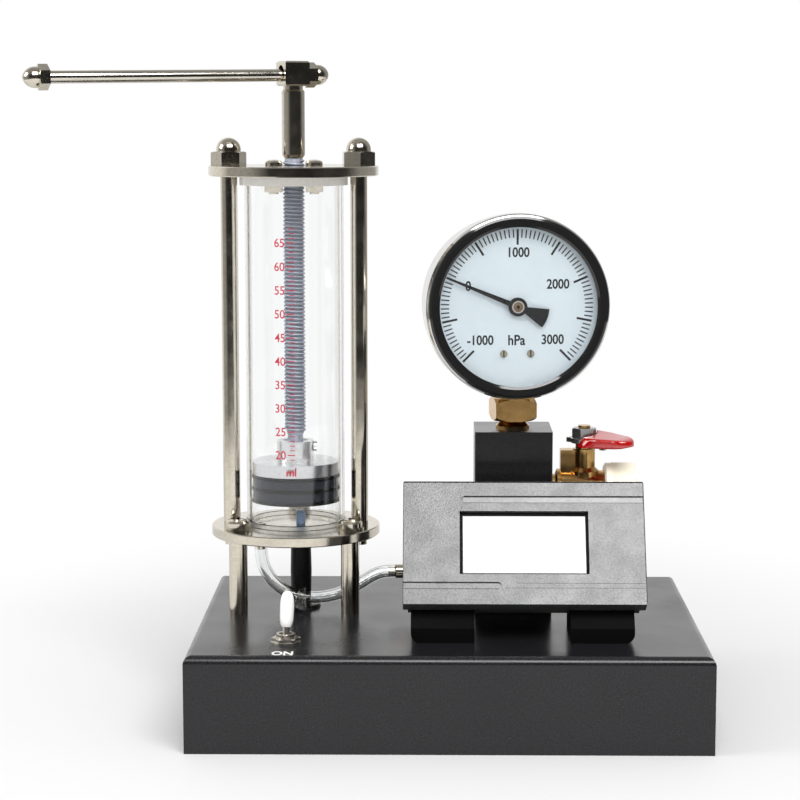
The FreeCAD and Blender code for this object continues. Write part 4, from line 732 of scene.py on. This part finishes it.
into_gauge = Vector(joints["pointer_turn"]["axis"]).normalized()
gauge_centre = Vector(joints["pointer_turn"]["pos_m"])
to_right = into_gauge.cross(Vector((0, 0, 1))).normalized()
dial_depth = 4.6 * mm


def gauge_frame(tree):
    """Place in the gauge: how far from its axis, to its right and behind its front, in metres."""
    place = add_node(tree, "ShaderNodeTexCoord")
    offset = add_vector_math(tree, "SUBTRACT", place.outputs["Object"], gauge_centre)
    from_axis = add_vector_math(tree, "LENGTH", add_vector_math(tree, "CROSS_PRODUCT", offset, into_gauge))
    aside = add_vector_math(tree, "DOT_PRODUCT", offset, to_right)
    return from_axis, aside, add_vector_math(tree, "DOT_PRODUCT", offset, into_gauge)


def tint_over(tree, shader, mask, tint):
    """Lays a second base colour over the first where a mask is 1."""
    under = shader.inputs["Base Color"].links[0].from_socket
    lay = add_node(tree, "ShaderNodeMix", {0: mask, 6: under, 7: (*tint, 1)}, data_type="RGBA")
    feed(shader, {"Base Color": lay.outputs[2]})


def nodes_of(finish):
    """A finish's tree and its shader."""
    return finish.node_tree, finish.node_tree.nodes["Principled BSDF"]


# The ring's front and its inner lip are painted near-black, a painted dark reflection and shade in place of
# the plate's own mirror; its side is bare plate.
dark_paint_depth = 0.42 * mm
inner_lip = 27.0 * mm
bezel_finish = gauge_chrome("bezel_finish")
tree, shader = nodes_of(bezel_finish)
feed(shader, {"Specular IOR Level": 0.6})
from_axis, aside, behind_front = gauge_frame(tree)
# Mask of the painted dark reflection and shade: the ring's front and its inner lip.
painted_dark_mask = add_math(tree, "MAXIMUM", add_math(tree, "LESS_THAN", behind_front, dark_paint_depth),
                     add_math(tree, "LESS_THAN", from_axis, inner_lip))
tint_over(tree, shader, painted_dark_mask, (0.012, 0.012, 0.012))
feed(shader, {"Metallic": add_math(tree, "SUBTRACT", 1.0, painted_dark_mask)})
dress(bezel_finish, "gauge_bezel")

# The bush in the pointer's hub has a bright rim; the dark hole in its middle is painted shade.
bush_rim = 1.6 * mm
hole_shade_radius = 0.55 * mm
arbor_bronze = plated("arbor_bronze", (0.16, 0.10, 0.06), (0.28, 0.19, 0.12), rough=(0.25, 0.40))
tree, shader = nodes_of(arbor_bronze)
from_axis = gauge_frame(tree)[0]
tint_over(tree, shader, add_math(tree, "GREATER_THAN", from_axis, bush_rim), (0.52, 0.50, 0.46))
# Painted shade of the hole in the bush's middle.
tint_over(tree, shader, add_math(tree, "LESS_THAN", from_axis, hole_shade_radius), (0.015, 0.010, 0.008))
dress(arbor_bronze, "pinion_arbor")

# The dial's screws have an upright slot, drawn as a dark stripe of painted shade.
dial_screws_aside = 4.4 * mm
slot_half = 0.22 * mm
dial_screw_steel = plated("dial_screw_steel", (0.30, 0.27, 0.21), (0.44, 0.40, 0.32), rough=(0.20, 0.32))
tree, shader = nodes_of(dial_screw_steel)
aside = gauge_frame(tree)[1]
from_slot = add_math(tree, "SUBTRACT", add_math(tree, "ABSOLUTE", aside), dial_screws_aside)
slot_shade_mask = add_math(tree, "LESS_THAN", add_math(tree, "ABSOLUTE", from_slot), slot_half)
# Painted shade in the slot.
tint_over(tree, shader, slot_shade_mask, (0.02, 0.018, 0.015))
dress(dial_screw_steel, "dial_screws")

ink_lift = 0.02 * mm
dial_place = Matrix.Identity(4)
for column, vector in enumerate((to_right, Vector((0, 0, 1)), -into_gauge)):
    dial_place.col[column] = (*vector, 0)
dial_place.translation = gauge_centre + into_gauge * (dial_depth - ink_lift)


def fan_tree():
    """Marks along an arc, each turned to face the centre."""
    lengths = ("First", "Step", "Inner", "Outer", "Width")
    tree, begin, end = growing_tree("dial_fan", lengths, ("Count",))
    index = add_node(tree, "GeometryNodeInputIndex").outputs["Index"]
    back = add_math(tree, "MULTIPLY", index, begin.outputs["Step"])
    angle = add_math(tree, "SUBTRACT", begin.outputs["First"], back)
    twice_middle = add_math(tree, "ADD", begin.outputs["Inner"], begin.outputs["Outer"])
    middle = add_math(tree, "MULTIPLY", twice_middle, 0.5)
    x = add_math(tree, "MULTIPLY", add_math(tree, "COSINE", angle), middle)
    y = add_math(tree, "MULTIPLY", add_math(tree, "SINE", angle), middle)
    points = add_node(tree, "GeometryNodePoints", {"Count": begin.outputs["Count"],
                                                   "Position": join_vector(tree, x, y, 0.0)})
    length = add_math(tree, "SUBTRACT", begin.outputs["Outer"], begin.outputs["Inner"])
    size = join_vector(tree, length, begin.outputs["Width"], print_thick)
    mark = add_node(tree, "GeometryNodeMeshCube", {"Size": size})
    turn = add_node(tree, "FunctionNodeEulerToRotation", {"Euler": join_vector(tree, 0.0, 0.0, angle)})
    copies = add_node(tree, "GeometryNodeInstanceOnPoints", {"Points": points.outputs["Points"],
                                                             "Instance": mark.outputs["Mesh"],
                                                             "Rotation": turn.outputs["Rotation"]})
    close_tree(tree, begin, end, copies.outputs["Instances"])
    return tree


dial_ink = coated("dial_ink", (0.005, 0.005, 0.006), (0.012, 0.012, 0.014), rough=(0.4, 0.5),
                  grain=1500.0, depth=0.005 * mm, bump=0.1, gloss=0.15)
fan = fan_tree()
sweep_start = math.radians(225.0)
sweep = math.radians(270.0)
marks_outer = 24.9 * mm
dial_number_height = 3.0 * mm
dial_unit_height = 3.2 * mm
dial_pieces = []
for name, count, inner, width in (("fifty_marks", 81, 22.2 * mm, 0.40 * mm),
                                  ("five_hundred_marks", 9, 19.9 * mm, 0.70 * mm)):
    marks = grown(name, fan, {"First": sweep_start, "Step": sweep / (count - 1), "Inner": inner,
                              "Outer": marks_outer, "Width": width, "Count": count, "Finish": dial_ink})
    dial_pieces.append(marks)
for words, across, up in (("-1000", -12.0, -10.7), ("0", -16.0, 6.8), ("1000", 0.5, 17.5),
                          ("2000", 13.3, 7.2), ("3000", 11.7, -10.7), ("hPa", -0.1, -10.8)):
    name = "dial_" + words.replace("-", "minus_")
    height = dial_unit_height if words == "hPa" else dial_number_height
    label = text_mesh(name, words, height, squeeze=0.86, weight=0.022)
    label.transform(Matrix.Translation((across * mm, up * mm, 0)))
    label.materials.append(dial_ink)
    dial_pieces.append(new_object(name, label))
for piece in dial_pieces:
    piece.data.transform(dial_place)
    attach(piece, "root")

# ---- the vent valve ------------------------------------------
# A small brass ball valve with a pale satin outlet. Its steel lever has a thick red dipped sleeve,
# which slopes down to its front and its tip.
pale_brass, shader = toned("pale_brass", (0.91, 0.87, 0.69), (0.95, 0.92, 0.76), rough=(0.25, 0.36),
                           clouds=plate_clouds, grain=700.0)
feed(shader, {"Specular IOR Level": 0.7})
dress(pale_brass, "valve_outlet")
ptfe = coated("ptfe", (0.82, 0.82, 0.80), (0.90, 0.90, 0.88), rough=(0.4, 0.5), grain=500.0, depth=0.01 * mm)
dress(ptfe, "valve_seats")
dress(zinc, "valve_lever", "lever_nut")
red_vinyl = coated("red_vinyl", (0.36, 0.002, 0.003), (0.46, 0.004, 0.005), rough=(0.07, 0.14),
                   grain=250.0, depth=0.02 * mm, bump=0.12, gloss=0.95)
feed(nodes_of(red_vinyl)[1], {"Coat Weight": 0.8, "Coat Roughness": 0.08})

# The sleeve lies along x from the lever's pivot until it is turned into its place.
grip_low, grip_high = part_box("lever_sleeve")
grip_start = 0.6 * mm
grip_widest = 2.6 * mm
grip_shoulder = 7.5 * mm
grip_length = 18.6 * mm
grip_half = 6.0 * mm
grip_tip = 5.0 * mm
grip_tip_half = 4.3 * mm
grip_blunt = 0.4 * mm
flank_slope = 0.5
top_share = 0.62
front_tall, front_fall, front_tip_fall = 3.3 * mm, 0.6 * mm, 1.1 * mm
rear_rise, rear_fall, rear_tip_fall = 1.9 * mm, 1.5 * mm, 0.3 * mm
belly_rise, belly_tip_rise = 0.75 * mm, 0.5 * mm
grip_corners = (0.45 * mm, 1.3 * mm, 0.9 * mm, 0.45 * mm)
grip_steps = 40
steps_to_tip = 1.6
lever_angle = math.radians(-38.0)
lever_thick = 1.5 * mm
lever_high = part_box("valve_lever")[1].z
lever_low = lever_high - lever_thick


def rounded_corner(before, corner, after, radius):
    """Points on a soft bend at a corner of a flat outline."""
    before, corner, after = Vector(before), Vector(corner), Vector(after)
    longest_share = 0.45
    reach_in = min(radius, longest_share * (before - corner).length)
    reach_out = min(radius, longest_share * (after - corner).length)
    begin = corner + (before - corner).normalized() * reach_in
    end = corner + (after - corner).normalized() * reach_out
    steps = 8
    shares = [k / steps for k in range(steps + 1)]
    return [begin * (1 - t) ** 2 + corner * 2 * t * (1 - t) + end * t ** 2 for t in shares]


def grip_ring(x):
    """Section across the sleeve at a place along the lever, as (across, height) pairs."""
    tip_start = grip_length - grip_tip
    if x < grip_widest:
        half = grip_half - flank_slope * (grip_widest - x)
    elif x < tip_start:
        half = grip_half + (grip_tip_half - grip_half) * (x - grip_widest) / (tip_start - grip_widest)
    else:
        round_share = math.sqrt(max(0.0, 1 - ((x - tip_start) / grip_tip) ** 2))
        half = max(grip_blunt, grip_tip_half * round_share)
    along = max(0.0, x - grip_widest) / (grip_length - grip_widest)
    at_tip = max(0.0, (x - tip_start) / grip_tip) ** 3
    to_shoulder = (x - grip_start) / (grip_shoulder - grip_start)
    top_half = half * min(1.0, top_share + (1 - top_share) * to_shoulder)
    low = grip_low.z + belly_rise * along ** 1.5 + belly_tip_rise * at_tip
    front = low + front_tall - front_fall * along - front_tip_fall * at_tip
    rear = front + rear_rise - rear_fall * along - rear_tip_fall * at_tip
    outline = [(half, low), (top_half, rear), (-top_half, front), (-half, low)]
    points = []
    for k, radius in enumerate(grip_corners):
        points += rounded_corner(outline[k - 1], outline[k], outline[(k + 1) % 4], radius)
    return points


grip_shape = bmesh.new()
grip_rings = []
for k in range(grip_steps + 1):
    x = grip_start + (grip_length - grip_start) * (1 - (1 - k / grip_steps) ** steps_to_tip)
    grip_rings.append([grip_shape.verts.new((x, across, height)) for across, height in grip_ring(x)])
for before, after in zip(grip_rings, grip_rings[1:]):
    for k in range(len(before)):
        n = (k + 1) % len(before)
        grip_shape.faces.new((before[k], before[n], after[n], after[k]))
grip_shape.faces.new(grip_rings[0][::-1])
grip_shape.faces.new(grip_rings[-1])
bmesh.ops.recalc_face_normals(grip_shape, faces=grip_shape.faces)
vinyl_grip = new_object("vinyl_grip", mesh_from("vinyl_grip", grip_shape))
vinyl_grip.data.materials.append(red_vinyl)


def cutter(name, low, high, is_round=False):
    """Brick or upright round bar that is cut out of the sleeve, from its lowest and highest corners."""
    shape = bmesh.new()
    if is_round:
        bmesh.ops.create_cone(shape, cap_ends=True, segments=64, radius1=0.5, radius2=0.5, depth=1.0)
    else:
        bmesh.ops.create_cube(shape, size=1.0)
    low, high = Vector(low), Vector(high)
    place = Matrix.Translation((low + high) / 2) @ Matrix.Diagonal((*(high - low), 1))
    bmesh.ops.transform(shape, matrix=place, verts=shape.verts)
    return new_object(name, mesh_from(name, shape))


# Room for the lever's hub and nut, for the steel lever inside and for its stop.
hub_clear = 4.7 * mm
hub_room_low = grip_low.z - 5 * mm
hub_room_high = grip_high.z + 9 * mm
lever_half = 3.5 * mm
lever_reach = 16 * mm
stop_low = (4.4 * mm, 1.9 * mm, lever_low - 3 * mm)
stop_high = (6.6 * mm, 3.7 * mm, lever_low + 0.5 * mm)
cutters = [cutter("hub_room", (-hub_clear, -hub_clear, hub_room_low), (hub_clear, hub_clear, hub_room_high),
                  is_round=True),
           cutter("lever_room", (0, -lever_half, lever_low), (lever_reach, lever_half, lever_high)),
           cutter("stop_room", stop_low, stop_high)]
for tool in cutters:
    cut = vinyl_grip.modifiers.new(tool.name, "BOOLEAN")
    cut.operation = "DIFFERENCE"
    cut.solver = "EXACT"
    cut.object = tool
grip_mesh = evaluated_mesh(vinyl_grip)
vinyl_grip.modifiers.clear()
vinyl_grip.data = grip_mesh
for tool in cutters:
    bpy.data.objects.remove(tool)
grip_mesh.shade_smooth()
grip_mesh.set_sharp_from_angle(angle=math.radians(40))
lever_pivot = Vector(joints["lever_turn"]["pos_m"])
grip_place = Matrix.Translation((lever_pivot.x, lever_pivot.y, 0))
grip_mesh.transform(grip_place @ Matrix.Rotation(lever_angle, 4, "Z"))
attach(vinyl_grip, "valve_handle")
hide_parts("lever_sleeve")

# ---- the display ---------------------------------------------
# A shell of dark plastic with a fine worn texture, tilted back on two black feet, painted darker still as the
# shade under the shell. A liquid crystal panel with a black frame lies in its window; it is switched off and
# looks plain white.
display_plastic = coated("display_plastic", (0.012, 0.012, 0.013), (0.090, 0.090, 0.091),
                         rough=(0.30, 0.39), grain=1500.0, depth=0.12 * mm, bump=0.75, gloss=1.0,
                         clouds=150.0)
dress(display_plastic, "display_front", "display_back")
# The feet's black is partly their own and partly painted shade from the shell above; the same near-black is
# the painted dark reflection along the face's top edge.
foot_black_and_shade = coated("foot_black_and_shade", (0.002, 0.002, 0.002), (0.004, 0.004, 0.004), rough=(0.45, 0.6),
                    grain=1200.0, depth=0.04 * mm, gloss=0.04)
dress(foot_black_and_shade, "display_foot_left", "display_foot_right")
screen_black = coated("screen_black", (0.006, 0.006, 0.006), (0.012, 0.012, 0.012), rough=(0.5, 0.6),
                      grain=900.0, depth=0.01 * mm, gloss=0.05)
dress(screen_black, "display_module")

display_tilt = math.radians(60.0)
up_the_slant = Vector((0, math.cos(display_tilt), math.sin(display_tilt)))
off_the_face = Vector((0, -math.sin(display_tilt), math.cos(display_tilt)))
display_case = 6.0 * mm
window_depth = 1.6 * mm
groove_depth = 0.5 * mm
film = 0.01 * mm
display_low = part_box("display_front")[0]
display_corner = Vector((display_low.x, display_low.y, display_low.z + display_case * off_the_face.z))


def on_face(name, left, right, low, high, depth, finish):
    """Thin flat piece on the tilted face: its edges from the lower left corner, in mm, and its depth."""
    mesh = bpy.data.meshes.new(name)
    corners = [display_corner + Vector((u * mm, 0, 0)) + up_the_slant * v * mm - off_the_face * depth
               for u, v in ((left, low), (right, low), (right, high), (left, high))]
    mesh.from_pydata(corners, [], [(0, 1, 2, 3)])
    mesh.materials.append(finish)
    piece = new_object(name, mesh)
    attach(piece, "root")
    return piece


screen_white = coated("screen_white", (0.66, 0.66, 0.655), (0.70, 0.70, 0.695), rough=(0.35, 0.45),
                      grain=700.0, depth=0.004 * mm, bump=0.1)
screen = on_face("screen", 18.6, 56.7, 10.5, 29.1, window_depth - 3 * film, screen_white)
# Dark grey for lines of painted shade and painted dark reflection on the display's face.
line_painted_shade = coated("line_painted_shade", (0.006, 0.006, 0.006), (0.02, 0.02, 0.02), rough=(0.5, 0.7), grain=900.0,
                   depth=0.02 * mm, gloss=0.16)
# Lighter grey for the painted light on the floor of the upper groove.
groove_painted_light = coated("groove_painted_light", (0.12, 0.12, 0.12), (0.20, 0.20, 0.20), rough=(0.27, 0.42),
                      grain=900.0, depth=0.08 * mm, bump=0.5, gloss=1.0)

# Painted shade: dark lines along the grooves, the trim and the edges, where the face mirrors dark at its
# edges. Painted light: the pale floor of the upper groove.
face_wide = 75.1
face_tall = 40.1
groove_end = 29.8
trim_end = face_wide - 0.4
edge_top = face_tall - 0.42
in_groove = groove_depth - film
for name, left, right, low, high, depth, finish in (
        ("upper_trim_shade", 35.3, trim_end, 6.72, 6.82, -film, line_painted_shade),
        ("lower_trim_shade", 31.4, trim_end, 5.18, 5.28, -film, line_painted_shade),
        ("upper_groove_edge_shade", 18.6, face_wide, 32.98, 33.10, -film, line_painted_shade),
        ("lower_groove_edge_shade", 0.0, groove_end, 4.84, 5.00, -film, line_painted_shade),
        ("upper_groove_light", 18.7, face_wide, 33.15, 35.05, in_groove, groove_painted_light),
        ("upper_groove_shade", 18.9, face_wide, 35.14, 35.32, -film, line_painted_shade),
        ("lower_groove_shade", 0.0, groove_end, 7.04, 7.18, -film, line_painted_shade),
        ("face_edge_top", 0.2, face_wide - 0.2, edge_top, face_tall - 0.02, -film, foot_black_and_shade),
        ("face_edge_left", 0.02, 0.20, 0.2, edge_top, -film, line_painted_shade),
        ("face_edge_right", face_wide - 0.26, face_wide - 0.02, 0.2, edge_top, -film, line_painted_shade)):
    strip = on_face(name, left, right, low, high, depth, finish)
